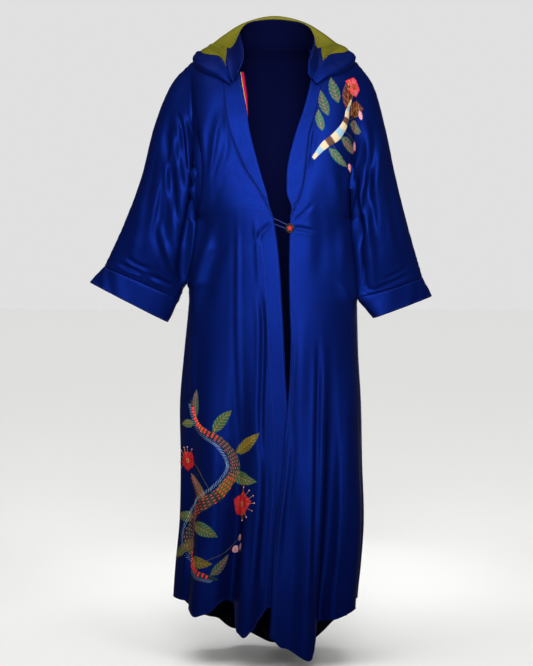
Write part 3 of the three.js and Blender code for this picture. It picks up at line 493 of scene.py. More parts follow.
# ---------------------------------------------------------------- the worn form
class Quarter:
    """A quarter of the robe: one side's front or back."""

    def __init__(self, name):
        face, self.side = name.split("_")
        self.front = face == "front"
        self.sign = -1 if self.side == "left" else 1
        self.hem, self.hem_folds = stepped(HEM[name]), HEM_FOLDS[name]
        self.sleeve_folds = SLEEVE_FOLDS[name]
        self.neck = curves_of(NECKLINE_COLUMNS, NECKLINE[self.side])
        self.edge = curves_of(FRONT_EDGE_COLUMNS, FRONT_EDGE[self.side])
        rows = SLEEVE[self.side]
        self.arm = curves_of(SLEEVE_COLUMNS, [row for row in rows if row[0] <= 1])
        self.cuff = curves_of(SLEEVE_COLUMNS, [row for row in rows if row[0] >= 1])

    def sleeve(self, s, v):
        """A point of the sleeve: s along the arm, v from over it to under it."""
        s, v = grids(s, v)
        ring = {name: np.where(s <= 1, self.arm[name](s), self.cuff[name](s)) for name in self.arm}
        over, under = (triple(*(ring[f"{end}_{axis}"] for axis in "xyz")) for end in ("over", "under"))
        depth = ring["front" if self.front else "back"].copy()
        for middle, width, start, end, height in self.sleeve_folds:
            along = np.sin(math.pi * np.clip((s - start) / (end - start), 0, 1))
            depth += height * along * bump((v - middle) / width)
        across, out = quarter_round(np.abs(2 * v - 1), BACK_SQUARE)
        centre = (over + under) / 2
        point = centre + (over - centre) * (np.where(v < 0.5, 1, -1) * across)[..., None]
        point[..., 1] += (-1 if self.front else 1) * depth * out
        return point

    def skirt(self, u, z):
        """A point of the skirt at height z."""
        u, z = grids(u, z)
        inner_x = self.edge["x"](z) if self.front else np.zeros_like(z)
        inner_y = self.edge["y"](z) if self.front else SKIRT_CURVES["back"](z)
        side_x = SKIRT_CURVES[self.side](z)
        square = FRONT_SQUARE if self.front else BACK_SQUARE
        across, out = quarter_round(u, square)
        point = triple(inner_x + (side_x - inner_x) * across, inner_y * out, z)
        outward = unit(triple(
            self.sign * across ** (square - 1) / np.abs(side_x - inner_x),
            np.sign(inner_y) * out ** (square - 1) / np.abs(inner_y), 0,
        ))
        push = np.zeros_like(z)
        for top, hem, width, start, depth in self.hem_folds:
            down = np.clip((z - start) / (FOLDS_FULL - start), 0, 1)
            push += depth * ease(down) * bump((u - top - (hem - top) * down) / width)
        return point + outward * push[..., None]

    def top(self, u):
        """The top line: neckline and shoulder on a back, shoulder alone on a front."""
        shoulder = self.sleeve(0, 0)
        neck = np.array([self.sign * NECK_POINT[0], NECK_POINT[1], NECK_POINT[2]])
        if self.front:
            neck[0] = self.neck["seam"](0)
            return mix(neck, shoulder, u)
        line = mix(neck, shoulder, (u - NECK_SHARE) / (1 - NECK_SHARE))
        across, out = quarter_round(np.minimum(u / NECK_SHARE, 1), 2)
        curve = triple(neck[0] * across, NAPE[0] * out, neck[2] + (NAPE[1] - neck[2]) * out)
        return np.where((u >= NECK_SHARE)[..., None], line, curve)

    def inner(self, v):
        if self.front:
            return triple(*(self.neck[name](v) for name in ("seam", "y", "z")))
        return triple(0, CENTRE_BACK_CURVES["y"](v), CENTRE_BACK_CURVES["z"](v))

    def chest(self, u, v):
        """Above the underarm, spanned between the quarter's four border lines."""
        one, none = np.ones_like(u), np.zeros_like(u)
        corners = (
            mix(border(none), border(one), u)
            for border in (self.top, lambda side: self.skirt(side, UNDERARM))
        )
        return (
            mix(self.top(u), self.skirt(u, UNDERARM), v)
            + mix(self.inner(v), self.sleeve(none, v), u) - mix(*corners, v)
        )

    def body(self, u, v):
        """v is 0 at the shoulder, 1 at the underarm and 2 at the hem; u under 0 is the band."""
        u, v = grids(u, v)
        inside = np.maximum(u, 0)
        upper = self.chest(inside, np.minimum(v, 1))
        lower = self.skirt(inside, UNDERARM + (self.hem(inside) - UNDERARM) * (np.maximum(v, 1) - 1))
        point = np.where((v <= 1)[..., None], upper, lower)
        if not self.front:
            return point
        seam, edge = self.neck["seam"](v), self.neck["edge"](v)
        band = triple(seam - u * (edge - seam), self.neck["y"](v), self.neck["z"](v))
        return np.where((u < 0)[..., None], band, point)


SKIRT_CURVES = curves_of(SKIRT_COLUMNS, SKIRT)
CENTRE_BACK_CURVES = curves_of(CENTRE_BACK_COLUMNS, CENTRE_BACK)
QUARTERS = {name: Quarter(name) for name in HEM}


# ---------------------------------------------------------------- grids of cloth
class Cloth:
    """A grid of cloth points. Missing places of the grid hold no number."""

    def __init__(self, points, flip=False):
        self.points = np.asarray(points, float)
        self.flip = flip
        self.filled = ~np.isnan(self.points[..., 0])
        index = np.full(self.filled.shape, -1)
        index[self.filled] = np.arange(self.filled.sum())
        corners = np.stack([index[:-1, :-1], index[:-1, 1:], index[1:, 1:], index[1:, :-1]], -1)
        self.faces = corners[(corners >= 0).all(-1)]
        if flip:
            self.faces = self.faces[:, ::-1]
        self.turn()

    def turn(self):
        """The outward normal at each point, weighted by area."""
        flat = self.points[self.filled]
        a, b, c, d = (flat[self.faces[:, i]] for i in range(4))
        across = np.cross(c - a, d - b)
        sums = np.zeros_like(flat)
        for i in range(4):
            np.add.at(sums, self.faces[:, i], across)
        self.normals = np.zeros_like(self.points)
        self.normals[self.filled] = unit(sums)

    def lift(self, height):
        self.points = self.points + self.normals * np.asarray(height)[..., None]
        self.turn()

    def arcs(self, axis):
        """Length of cloth from the grid's start, along its rows (1) or its columns (0)."""
        return summed(np.nan_to_num(np.linalg.norm(np.diff(self.points, axis=axis), axis=-1)), axis)

    def at(self, row, column, lift=0.0):
        """Points between the grid's own, at fractional rows and columns, lifted off it."""
        row, column = grids(row, column)
        i = np.clip(row.astype(int), 0, self.points.shape[0] - 2)
        j = np.clip(column.astype(int), 0, self.points.shape[1] - 2)
        place, normal = (
            mix(*(mix(grid[k, j], grid[k, j + 1], column - j) for k in (i, i + 1)), row - i)
            for grid in (self.points, self.normals)
        )
        return place + unit(normal) * np.asarray(lift)[..., None]


def close_underarm(points):
    """Draws sleeve and body together below the underarm, fading out over a hand's width."""
    x, z = points[..., 0], points[..., 2]
    shift = np.zeros_like(x)
    for rows in UNDERARM_GAP.values():
        levels, middles, shares = zip(*rows)
        gap = np.interp(z, levels, middles) - x
        share = np.interp(z, levels, shares) * (np.abs(gap) < HAND)
        reach = np.interp(z, (-470, -402), (34, 8))
        shift += (gap + np.copysign(UNDERARM_LAP, gap)) * share * bell(gap / reach)
    points = points.copy()
    points[..., 0] += np.nan_to_num(shift)
    return points


def crease_height(points, creases):
    """Height of the creases at points, each a ridge or trough with one steeper side."""
    height = np.zeros(len(points))
    seen = points[:, [0, 2]]
    for path, width, depth, lean in creases:
        line = centripetal(path, np.linspace(0, 1, 25))
        reach = 3.2 * width
        near = ((seen > line.min(0) - reach) & (seen < line.max(0) + reach)).all(1)
        spots = seen[near]
        start, step = line[:-1], np.diff(line, axis=0)
        away = spots[:, None] - start[None]
        share = np.clip((away * step).sum(-1) / (step**2).sum(-1), 0, 1)
        gap = away - share[..., None] * step
        distance = np.linalg.norm(gap, axis=-1)
        best = distance.argmin(1)
        rows = np.arange(len(spots))
        along = (best + share[rows, best]) / len(step)
        side = np.sign(step[best, 0] * gap[rows, best, 1] - step[best, 1] * gap[rows, best, 0])
        t = distance[rows, best] / width * side
        form = bell(t) * (1 + lean * t) - 0.3 * np.exp(-((np.abs(t) - 1.7) ** 2) * 1.5)
        height[near] += depth * form * ease(along / 0.3) * ease((1 - along) / 0.3)
    return height


class Panel(Cloth):
    """A cut panel: runs of columns from the left to the right, rows from shoulder to hem."""

    UPPER = tight_ends(78)
    ROWS = np.concatenate([UPPER, 1 + tight_ends(150)[1:]])
    UNDERARM_ROW = len(UPPER) - 1

    def __init__(self, name):
        self.name, self.rows = name, self.ROWS
        blocks, self.runs, start = [], {}, 0
        for quarter, part, count, skip, outward in PANELS[name]:
            values = tight_ends(count)[skip:]
            values = values if outward else values[::-1]
            v, u = np.meshgrid(self.rows, values, indexing="ij")
            if part == "body":
                block = QUARTERS[quarter].body(u, v)
            else:
                block = QUARTERS[quarter].sleeve(u, np.minimum(v, 1))
                block[self.UNDERARM_ROW + 1:] = np.nan
            blocks.append(block)
            self.runs[quarter, part] = (start, values)
            start += len(values)
        points = np.concatenate(blocks, axis=1)
        self.soften(points)
        super().__init__(close_underarm(points), name != "back")
        self.sewn()
        height = np.zeros(self.filled.shape)
        height[self.filled] = crease_height(self.points[self.filled], CREASES[name])
        # A crease dies out where the cloth turns away from the front or the back.
        faced = np.clip(2 * np.abs(self.normals[..., 1]) - 0.1, 0, 1)
        self.lift(height * (1 - self.near_seam) * faced)

    def soften(self, points):
        """Eases the cloth across its underarm level and its arm's start."""
        height = np.nan_to_num(points[..., 2], nan=-2000.0)
        upper = points[:self.UNDERARM_ROW, :, 1]
        for (_, part), (start, values) in self.runs.items():
            block = slice(start, start + len(values))
            if part == "body":
                level = 0.5 * bell((height[:, block] - UNDERARM) / UNDERARM_EASE)
                level[[0, -1]] = 0
                if self.name != "back":
                    held = bell(values[None] * 190 / 36) * ease((height[:, block] + 408) / 8)
                    level *= 1 - held
                relax(points[:, block, :2], level[1:-1, :, None], BODY_ROUNDS)
        for (_, part), (start, values) in self.runs.items():
            if part == "sleeve":
                seat = start + (len(values) if values[0] > values[-1] else 0) - 0.5
                weight = 0.5 * bell((np.arange(points.shape[1]) - seat) / 26)[1:-1]
                relax(upper.T, weight[:, None], ARM_ROUNDS)

    def column(self, quarter, part, value):
        """The fractional column of a value of u or s."""
        start, values = self.runs[quarter, part]
        order = np.argsort(values)
        return start + np.interp(value, values[order], order.astype(float))

    def row(self, v):
        """The fractional row of a value of v."""
        return np.interp(v, self.rows, np.arange(len(self.rows)))

    def spot(self, part, value, v):
        """Fractional row and column of places on a front, given by u (or s) and v."""
        value, v = grids(value, v)
        return self.row(v), self.column(self.name, part, value)

    def beside(self, value, distance, start, end):
        """A line at a distance from a line of a front's grid, measured along the cloth."""
        rows = np.flatnonzero((self.rows >= start) & (self.rows <= end))
        base, values = self.runs[self.name, "body"]
        arcs = self.arcs(1)[:, base:base + len(values)]
        seat = int(self.column(self.name, "body", value)) - base
        toward = slice(seat, None) if seat == 0 else slice(None, seat + 1)
        grows = np.arange(len(values), dtype=float)[toward]
        columns = []
        for row in rows:
            away = np.abs(arcs[row] - arcs[row, seat])[toward]
            order = np.argsort(away)
            columns.append(base + np.interp(distance, away[order], grows[order]))
        return rows.astype(float), np.array(columns)

    def seams(self):
        """Each sewn line: distance of every point from it, and place along it."""
        across, down = self.arcs(1), self.arcs(0)
        below = down - down[self.UNDERARM_ROW]
        yield down - down[:1], across
        for (_, part), (start, values) in self.runs.items():
            block = slice(start, start + len(values))
            for value in (0.0, 1.0):
                hits = np.flatnonzero(np.isclose(values, value))
                if not len(hits):
                    continue
                column = start + hits[0]
                gap = np.full(self.filled.shape, 1e3)
                gap[:, block] = np.abs(across - across[:, column:column + 1])[:, block]
                if part == "body" and value == 1:
                    yield np.hypot(gap, np.maximum(0, -below)), down
                elif part == "body" and self.name != "back":
                    yield np.hypot(gap, np.maximum(0, below)), down
                elif part == "sleeve" and value == 1:
                    yield gap, down
            if part == "sleeve":
                past = np.abs(across - across[:, block][:, [-1 if values[0] > values[-1] else 0]])
                past[:, block] = 0
                yield np.hypot(below, past), across

    def sewn(self):
        """Sinks the cloth into its seams and gathers it a little beside them."""
        self.near_seam = np.zeros(self.filled.shape)
        height = np.zeros(self.filled.shape)
        for gap, along in self.seams():
            close = bell(gap / SEAM_REACH)
            gathers = GATHER * (bell(gap / 10.0) - close) * uneven_wave(along, 15.0)
            height += gathers - SEAM_DEPTH * close
            self.near_seam = np.maximum(self.near_seam, bell(gap / 6.0))
        across, down = self.arcs(1), self.arcs(0)
        for part, value, low, high, away, reach, pitch, depth, slant in PUCKERS[self.name]:
            column = int(round(float(self.column(self.name, part, value))))
            gap = np.abs(across - across[:, column:column + 1]) - away
            share = np.clip((self.rows - low) / (high - low), 0, 1)
            fade = ease(4 * share) * ease(4 * (1 - share))
            wave = uneven_wave(down[:, column:column + 1] + slant * gap, pitch)
            height += depth * wave * bell(gap / reach) * fade[:, None]
        self.lift(height)


def turned_under(cloth, thickness):
    """A grid folded back on itself at its last column, as a band or cuff is."""
    points, normals = cloth.points, cloth.normals
    edge, normal = points[:, -1], normals[:, -1]
    outward = unit(edge - points[:, -2])
    centre = edge - normal * thickness / 2
    bend = [
        centre + (normal * math.cos(a) + outward * math.sin(a)) * thickness / 2
        for a in np.linspace(0, math.pi, 7)[1:-1]
    ]
    inside = points - normals * thickness
    return Cloth(np.concatenate([points, np.stack(bend, 1), inside[:, ::-1]], axis=1), cloth.flip)


# ---------------------------------------------------------------- meshes
def placed_object(name, data):
    made = bpy.data.objects.new(name, data)
    bpy.context.scene.collection.objects.link(made)
    return made


def mesh_piece(name, points, faces, materials, uv, tint=None):
    """A smooth mesh piece that rides on the robe, from points in millimetres."""
    mesh = bpy.data.meshes.new(name)
    mesh.from_pydata((np.asarray(points) * MM).tolist(), [], np.asarray(faces).tolist())
    corners = np.zeros(len(mesh.loops), int)
    mesh.loops.foreach_get("vertex_index", corners)
    mesh.uv_layers.new(name="cloth").data.foreach_set("uv", (np.asarray(uv)[corners] * MM).ravel())
    if tint is not None:
        layer = mesh.color_attributes.new("tint", "FLOAT_COLOR", "POINT")
        layer.data.foreach_set("color", np.asarray(tint, float).ravel())
    mesh.shade_smooth()
    mesh.validate()
    for material in materials:
        mesh.materials.append(material)
    piece = placed_object(name, mesh)
    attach(piece, "root")
    return piece


def cloth_piece(name, cloth, materials, thickness=0.0):
    """A cloth's piece. Open cloth gets its wall inwards, with its last material there."""
    uv = np.stack([cloth.arcs(1), cloth.arcs(0)], -1)[cloth.filled]
    piece = mesh_piece(name, cloth.points[cloth.filled], cloth.faces, materials, uv)
    if thickness:
        wall = piece.modifiers.new("wall", "SOLIDIFY")
        wall.thickness = thickness
        wall.offset = -1
        wall.use_even_offset = False
        wall.material_offset = wall.material_offset_rim = len(materials) - 1
    return piece


# ---------------------------------------------------------------- nodes
def dye(code):
    """An sRGB hex value as a linear colour."""
    def linear(c):
        return c / 12.92 if c <= 0.04045 else ((c + 0.055) / 1.055) ** 2.4
    return (*(linear(int(code[i:i + 2], 16) / 255) for i in (0, 2, 4)), 1.0)


def add(tree, kind, inputs, out=0, **settings):
    """Adds one node, with its settings, and its inputs as values or links. Gives one output."""
    made = tree.nodes.new(kind)
    for name, value in settings.items():
        setattr(made, name, value)
    for name, value in inputs.items():
        if isinstance(value, bpy.types.NodeSocket):
            tree.links.new(value, made.inputs[name])
        else:
            made.inputs[name].default_value = value
    return made.outputs[out] if len(made.outputs) else made


def place_of(tree):
    return add(tree, "ShaderNodeTexCoord", {}, "Object")


def noise(tree, place, scale, detail=2.0):
    return add(tree, "ShaderNodeTexNoise", {"Vector": place, "Scale": scale, "Detail": detail})


def waves(tree, place, scale, direction, **inputs):
    inputs = {"Vector": place, "Scale": scale, **inputs}
    return add(tree, "ShaderNodeTexWave", inputs, "Fac", bands_direction=direction)


def maths(tree, operation, a, b=0.5):
    return add(tree, "ShaderNodeMath", {0: a, 1: b}, operation=operation)


def ranged(tree, value, low, high, start=0.0, end=1.0):
    inputs = {"Value": value, "From Min": start, "From Max": end, "To Min": low, "To Max": high}
    return add(tree, "ShaderNodeMapRange", inputs)


def mixed(tree, factor, a, b, kind="RGBA", blend="MIX"):
    inputs = {"Factor": factor, "A": a, "B": b}
    return add(tree, "ShaderNodeMix", inputs, "Result", data_type=kind, blend_type=blend)


def relief(tree, height, strength, distance, **inputs):
    inputs = {"Height": height, "Strength": strength, "Distance": distance, **inputs}
    return add(tree, "ShaderNodeBump", inputs)


# ---------------------------------------------------------------- materials
# Each look gives the inputs of a Principled shader, as values or links.
def finish_of(name, look, *values):
    material = bpy.data.materials.new(name)
    material.use_nodes = True
    tree = material.node_tree
    tree.nodes.clear()
    surface = add(tree, "ShaderNodeBsdfPrincipled", look(tree, *values))
    add(tree, "ShaderNodeOutputMaterial", {"Surface": surface})
    return material


def satin(tree, colour, deep, roughness, sheen, gleam):
    """Polyester satin: long floats give a tight sheen, faint slubs run down the warp."""
    place = place_of(tree)
    warp = add(tree, "ShaderNodeMapping", {"Vector": place, "Scale": (1.0, 1.0, 0.045)})
    slubs = noise(tree, warp, 620.0, 3.0)
    share = ranged(tree, maths(tree, "MULTIPLY", slubs, noise(tree, place, 9.0)), 0.3, 1.0, 0.1, 0.4)
    fine = relief(tree, slubs, 0.12, 0.0003)
    return {
        "Base Color": mixed(tree, share, deep, colour), "Roughness": roughness, "Metallic": gleam,
        "Normal": relief(tree, noise(tree, place, 55.0), 0.2, 0.0012, Normal=fine),
        "Specular IOR Level": 0.3, "Specular Tint": colour,
        "Sheen Weight": sheen, "Sheen Roughness": 0.4, "Sheen Tint": colour,
    }


def thread(tree, colour, roughness):
    """Spun polyester sewing thread: twisted, so fine slanted bands catch the light."""
    twist = waves(tree, place_of(tree), 900.0, "DIAGONAL")
    return {
        "Base Color": colour, "Roughness": roughness, "Specular IOR Level": 0.25,
        "Normal": relief(tree, twist, 0.4, 0.0002),
    }


def silk_floss(tree):
    """Embroidery floss in satin stitch: laid threads 0.6 mm apart, drawn coarser than real so
    that they show; each motif's colour is on the mesh."""
    dyed = add(tree, "ShaderNodeVertexColor", {}, layer_name="tint")
    laid = add(tree, "ShaderNodeUVMap", {}, uv_map="cloth")
    rows = waves(tree, laid, 520.0, "X", Distortion=0.6, Detail=1.0)
    return {
        # The base colour is darkened in stripes between the laid threads and slightly lightened on
        # them: painted shade and painted sheen.
        "Base Color": mixed(tree, 1.0, dyed, ranged(tree, rows, 0.62, 1.08), blend="MULTIPLY"),
        "Roughness": 0.5, "Specular IOR Level": 0.25, "Normal": relief(tree, rows, 0.5, 0.0004),
    }


def enamel(tree, colour):
    """Worn enamel: matt from handling, with a slight orange peel."""
    peel = noise(tree, place_of(tree), 700.0)
    return {
        "Base Color": colour, "Roughness": 0.6, "Specular IOR Level": 0.12,
        "Normal": relief(tree, peel, 0.1, 0.0001),
    }


def gilt_brass(tree, colour):
    """Gilt brass, rolled and lightly rubbed, its roughness varying at random."""
    rough = ranged(tree, noise(tree, place_of(tree), 420.0, 3.0), 0.2, 0.45)
    return {"Base Color": colour, "Metallic": 1.0, "Roughness": rough}


def painted_floor(tree, colour):
    """A floor that looks pale but throws little light on the satin."""
    seen = add(tree, "ShaderNodeLightPath", {}, "Is Camera Ray")
    return {
        "Base Color": mixed(tree, seen, (0.3, 0.3, 0.3, 1.0), colour), "Specular IOR Level": 0.2,
        "Roughness": ranged(tree, noise(tree, place_of(tree), 3.0), 0.7, 0.85),
    }


def finishes():
    """Every material of the robe, made once."""
    looks, colours = bpy.data.materials, bpy.context.scene.robe_colours
    if "satin_face" in looks:
        return looks
    dyed = {name: tuple(getattr(colours, name)) for name in RobeColours.__annotations__}
    for name, colour, deep, *feel in (
        ("satin_face", "satin", "satin_deep", 0.5, 0.08, 0.55),
        # The reverse is dyed much darker than the face: partly the matt reverse's own duller colour,
        # partly painted shade for the inside of the robe.
        ("satin_reverse", "reverse", "reverse", 0.6, 0.1, 0.0),
        ("lining_satin", "lining", "lining_deep", 0.5, 0.05, 0.25),
        ("neck_strip_satin", "crimson", "crimson", 0.4, 0.3, 0.1),
        # Painted light: the turned-up hem band is a lighter grey than the dark inside, for the light
        # that catches it.
        ("hem_facing_twill", "facing", "facing", 0.7, 0.2, 0.0),
    ):
        finish_of(name, satin, dyed[colour], dyed[deep], *feel)
    finish_of("sewing_thread", thread, dyed["thread"], 0.5)
    finish_of("piping_cord", thread, dye("A8A420"), 0.45)
    finish_of("loop_cord", thread, dyed["satin"], 0.7)
    finish_of("embroidery_silk_floss", silk_floss)
    for name, code in FLOSS.items():
        finish_of(f"floss_{name}", thread, dye(code), 0.45)
    finish_of("black_enamel", enamel, dyed["button"])
    finish_of("star_enamel", enamel, dyed["star"])
    finish_of("gilt_brass", gilt_brass, dyed["gilt"])
    return looks


# ---------------------------------------------------------------- paths and stitches
def growing_tree(name, form, **inputs):
    """A Geometry Nodes tree with named inputs: what form() makes is realized and dyed."""
    tree = bpy.data.node_groups.new(name, "GeometryNodeTree")
    for way in ("INPUT", "OUTPUT"):
        tree.interface.new_socket("Geometry", in_out=way, socket_type="NodeSocketGeometry")
    for label, value in inputs.items():
        kind = "NodeSocketInt" if isinstance(value, int) else "NodeSocketFloat"
        tree.interface.new_socket(label, in_out="INPUT", socket_type=kind).default_value = value
    tree.interface.new_socket("Material", in_out="INPUT", socket_type="NodeSocketMaterial")
    given = tree.nodes.new("NodeGroupInput").outputs
    real = add(tree, "GeometryNodeRealizeInstances", {"Geometry": form(tree, given)})
    dyed = add(tree, "GeometryNodeSetMaterial", {"Geometry": real, "Material": given["Material"]})
    add(tree, "NodeGroupOutput", {"Geometry": dyed})
    return tree


def stops_along(tree, given, step):
    line = add(tree, "GeometryNodeMeshToCurve", {"Mesh": given["Geometry"]})
    inputs = {"Curve": line, "Length": given[step]}
    return add(tree, "GeometryNodeResampleCurve", inputs, mode="LENGTH")


def beads(tree, points, segments, rings, radius, scale, **turned):
    """A smooth round bead at each point."""
    ball = {"Segments": segments, "Rings": rings, "Radius": radius}
    bead = add(tree, "GeometryNodeMeshUVSphere", ball)
    smooth = add(tree, "GeometryNodeSetShadeSmooth", {"Geometry": bead})
    inputs = {"Points": points, "Instance": smooth, "Scale": scale, **turned}
    return add(tree, "GeometryNodeInstanceOnPoints", inputs)


def uneven(tree, given, size, low, high):
    """A size that varies from bead to bead."""
    inputs = {"Min": low, "Max": high, "Seed": given["Seed"]}
    vary = add(tree, "FunctionNodeRandomValue", inputs, 1, data_type="FLOAT")
    return maths(tree, "MULTIPLY", given[size], vary)


def stitch_tree():
    """Running stitches along a line: one short thread at each step of it."""
    def form(tree, given):
        wide = maths(tree, "MULTIPLY", given["Thread"], 2.0)
        long = uneven(tree, given, "Length", 0.85, 1.1)
        size = add(tree, "ShaderNodeCombineXYZ", {"X": long, "Y": wide, "Z": wide})
        along = add(tree, "GeometryNodeInputTangent", {})
        turned = add(tree, "FunctionNodeAlignRotationToVector", {"Vector": along}, axis="X")
        return beads(tree, stops_along(tree, given, "Pitch"), 6, 4, 0.5, size, Rotation=turned)
    return growing_tree("running_stitch", form, Pitch=0.0032, Length=0.0024, Thread=0.0003, Seed=3)


def roll_tree():
    """A rolled edge or piping: a tube along a line."""
    def form(tree, given):
        inputs = {"Resolution": 8, "Radius": given["Radius"]}
        ring = add(tree, "GeometryNodeCurvePrimitiveCircle", inputs)
        inputs = {"Curve": stops_along(tree, given, "Step"), "Profile Curve": ring, "Fill Caps": True}
        tube = add(tree, "GeometryNodeCurveToMesh", inputs)
        return add(tree, "GeometryNodeSetShadeSmooth", {"Geometry": tube})
    return growing_tree("rolled_edge", form, Radius=0.0012, Step=0.004)


def knot_tree():
    """French knots: a small ball of thread at each point."""
    def form(tree, given):
        return beads(tree, given["Geometry"], 8, 5, 1.0, uneven(tree, given, "Radius", 0.8, 1.15))
    return growing_tree("french_knots", form, Radius=0.0012, Seed=5)


def grown(name, lines, tree, **values):
    """A piece made by a Geometry Nodes tree from lines of points, then kept as a plain mesh."""
    points, edges = [], []
    for line in lines:
        first = len(points)
        points.extend((np.asarray(line) * MM).tolist())
        edges.extend([first + i, first + i + 1] for i in range(len(line) - 1))
    mesh = bpy.data.meshes.new(name + "_line")
    mesh.from_pydata(points, edges, [])
    piece = placed_object(name, mesh)
    modifier = piece.modifiers.new("form", "NODES")
    modifier.node_group = tree
    for item in tree.interface.items_tree:
        if item.in_out == "INPUT" and item.name in values:
            modifier[item.identifier] = values[item.name]
    seen = piece.evaluated_get(bpy.context.evaluated_depsgraph_get())
    final = bpy.data.meshes.new_from_object(seen)
    piece.modifiers.clear()
    piece.data = final
    if not len(final.polygons):
        raise RuntimeError(f"{name} came out empty")
    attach(piece, "root")
    return piece


# ---------------------------------------------------------------- hood, bands and cuffs
MADE = {}  # the cloths made so far, by name
HOOD_ALONG = np.linspace(0, 1, 193)
HOOD_ACROSS = np.linspace(0, 1, 66)


def off_robe(name, u, v, lift):
    """A point lifted off the robe's own surface."""
    here, over, under = (
        QUARTERS[name].body(np.array([a]), np.array([b]))[0]
        for a, b in ((u, v), (u + 0.004, v), (u, v + 0.004))
    )
    outward = unit(np.cross(over - here, under - here))
    return here + outward * (-lift if name in ("front_right", "back_left") else lift)


def hood_grid():
    """The hood's own surface, resting on the robe: across from neck to fall, along its face."""
    sections = []
    for name, rows in HOOD.items():
        for edge, crest, stand, trough, fall in rows:
            crest = np.array(crest, float)
            rest, belly, swell = (off_robe(name, *fall, REST + stand * share) for share in (0, 1, 1.2))
            sections.append([
                edge, off_robe(name, *trough, REST), crest,
                (crest + swell) / 2, crest + (belly - crest) * 0.88, rest,
            ])
    lines = [centripetal(track, HOOD_ALONG) for track in zip(*sections)]
    return np.stack([centripetal(section, HOOD_ACROSS) for section in zip(*lines)], 1)


def resting(grid, robe):
    """Raises each point that is too near the robe until it rests on it."""
    out = grid.copy()
    for i, j in np.ndindex(grid.shape[:2]):
        for _ in range(2):
            place, normal, _, gap = robe.find_nearest(Vector(out[i, j]))
            over = (Vector(out[i, j]) - place).dot(normal)
            if gap < REACH and over < REST:
                out[i, j] += np.array(normal) * (REST - over)
    return out


def robe_tree():
    """A search tree over the outer faces of the robe, in millimetres."""
    points, faces = [], []
    for name in ("back", "front_left", "front_right", "band_left", "band_right"):
        cloth = MADE[name]
        faces.extend((cloth.faces + len(points)).tolist())
        points.extend(cloth.points[cloth.filled].tolist())
    return BVHTree.FromPolygons(points, faces)


def hood_cloth():
    """The hood with its creases, at rest on the robe."""
    robe = robe_tree()
    grid = resting(hood_grid(), robe)
    flip = Cloth(grid).normals[len(HOOD_ACROSS) // 3].mean(0)[2] < 0
    cloth = Cloth(grid, flip)
    height = np.zeros(cloth.filled.shape)
    a, b = np.meshgrid(HOOD_ACROSS, HOOD_ALONG, indexing="ij")
    for b0, a0, b1, a1, width, depth in HOOD_CREASES:
        share = np.clip((a - a0) / (a1 - a0), 0, 1)
        away = (b - (b0 + (b1 - b0) * share)) * 900 / width
        height += depth * bell(away) * np.sin(math.pi * share)
    cloth.lift(height)
    return Cloth(resting(cloth.points, robe), flip)


def lining_cloth(hood):
    """The lining that shows above the hood's fold, pointed at both ends."""
    span = np.linspace(LINING_ALONG[0] - 0.012, LINING_ALONG[1] + 0.012, 168)
    ends = ease(np.minimum(span - span[0], span[-1] - span) / 0.12) ** 0.7
    wide = np.linspace(0, 1, 22)[:, None]
    low, high = ((edge - LINING_MIDDLE) * ends for edge in LINING_ACROSS)
    rows = (LINING_MIDDLE + low * (1 - wide) + high * wide) * (len(HOOD_ACROSS) - 1)
    columns = (span * (len(HOOD_ALONG) - 1))[None]
    return Cloth(hood.at(rows, columns, LINING + SEAM), hood.flip)


def sunk(distance):
    """How far a seam sinks the cloth at a distance from it."""
    return SEAM_DEPTH * bell(distance / SEAM_REACH)


def band_cloth(side):
    """The front band's outer face, from its seam to its free edge."""
    form = QUARTERS[f"front_{side}"]
    v, u = np.meshgrid(Panel.UPPER, np.linspace(0, -1, 13), indexing="ij")
    points = form.body(u - 1e-9, v)
    seam = form.neck["seam"](v)
    points[..., 0] = seam + (points[..., 0] - seam) * (1 - 0.85 * ease((v - 0.88) / 0.12))
    cloth = Cloth(points, side == "left")
    across, along = cloth.arcs(1), cloth.arcs(0)
    slanted = along + (0.8 if side == "left" else -1.1) * across
    gather = 0.3 + 0.6 * (ease((v - 0.35) * 5) * ease((1.02 - v) * 6))
    cloth.lift(gather * uneven_wave(slanted, 13.0) * np.sin(math.pi * -u) - sunk(across))
    return cloth


def cuff_cloth(side):
    """The cuff's outer face: a tube round the sleeve's end, from its seam to its edge."""
    around = tight_ends(48)
    blocks = []
    for face, values in (("front", around), ("back", around[::-1][1:])):
        v, along = np.meshgrid(values, np.linspace(1, 2, 15), indexing="ij")
        blocks.append(QUARTERS[f"{face}_{side}"].sleeve(along, v))
    cloth = Cloth(close_underarm(np.concatenate(blocks, axis=0)), side == "right")
    across, along = cloth.arcs(1), cloth.arcs(0)
    ripple = 0.9 * uneven_wave(along + 0.8 * across, 19.0) * bell(across / 13.0)
    sag = 1.1 * uneven_wave(along - 0.9 * across, 47.0)
    cloth.lift(ripple + sag - sunk(across))
    return cloth


def neck_strip():
    """The crimson strip inside the left neckline, and the line of its piping."""
    band = MADE["band_left"]
    rows = np.interp(np.linspace(0.235, 4 / 7, 40), Panel.UPPER, np.arange(len(Panel.UPPER)))
    edge = band.at(rows, np.full(40, 12.0), -(BAND + SEAM + 0.3))
    shows = 8.5 * ease(1.3 * np.linspace(1, 0, 40))
    columns = [edge + triple(-9 + share * (9 + shows), 0, 0) for share in np.linspace(0, 1, 7)]
    return Cloth(np.stack(columns, 1), True), edge + triple(0.18 * shows, -0.6, 0)


def hem_strip():
    """The facing inside the back hem."""
    back = MADE["back"]
    left, right = (back.column(f"back_{side}", "body", 0.98) for side in ("left", "right"))
    rows, columns = back.row(np.linspace(1.973, 2.0, 9)), np.arange(math.ceil(left), math.floor(right))
    return Cloth(back.at(*np.meshgrid(rows, columns, indexing="ij"), -(CLOTH + SEAM + 0.4)))


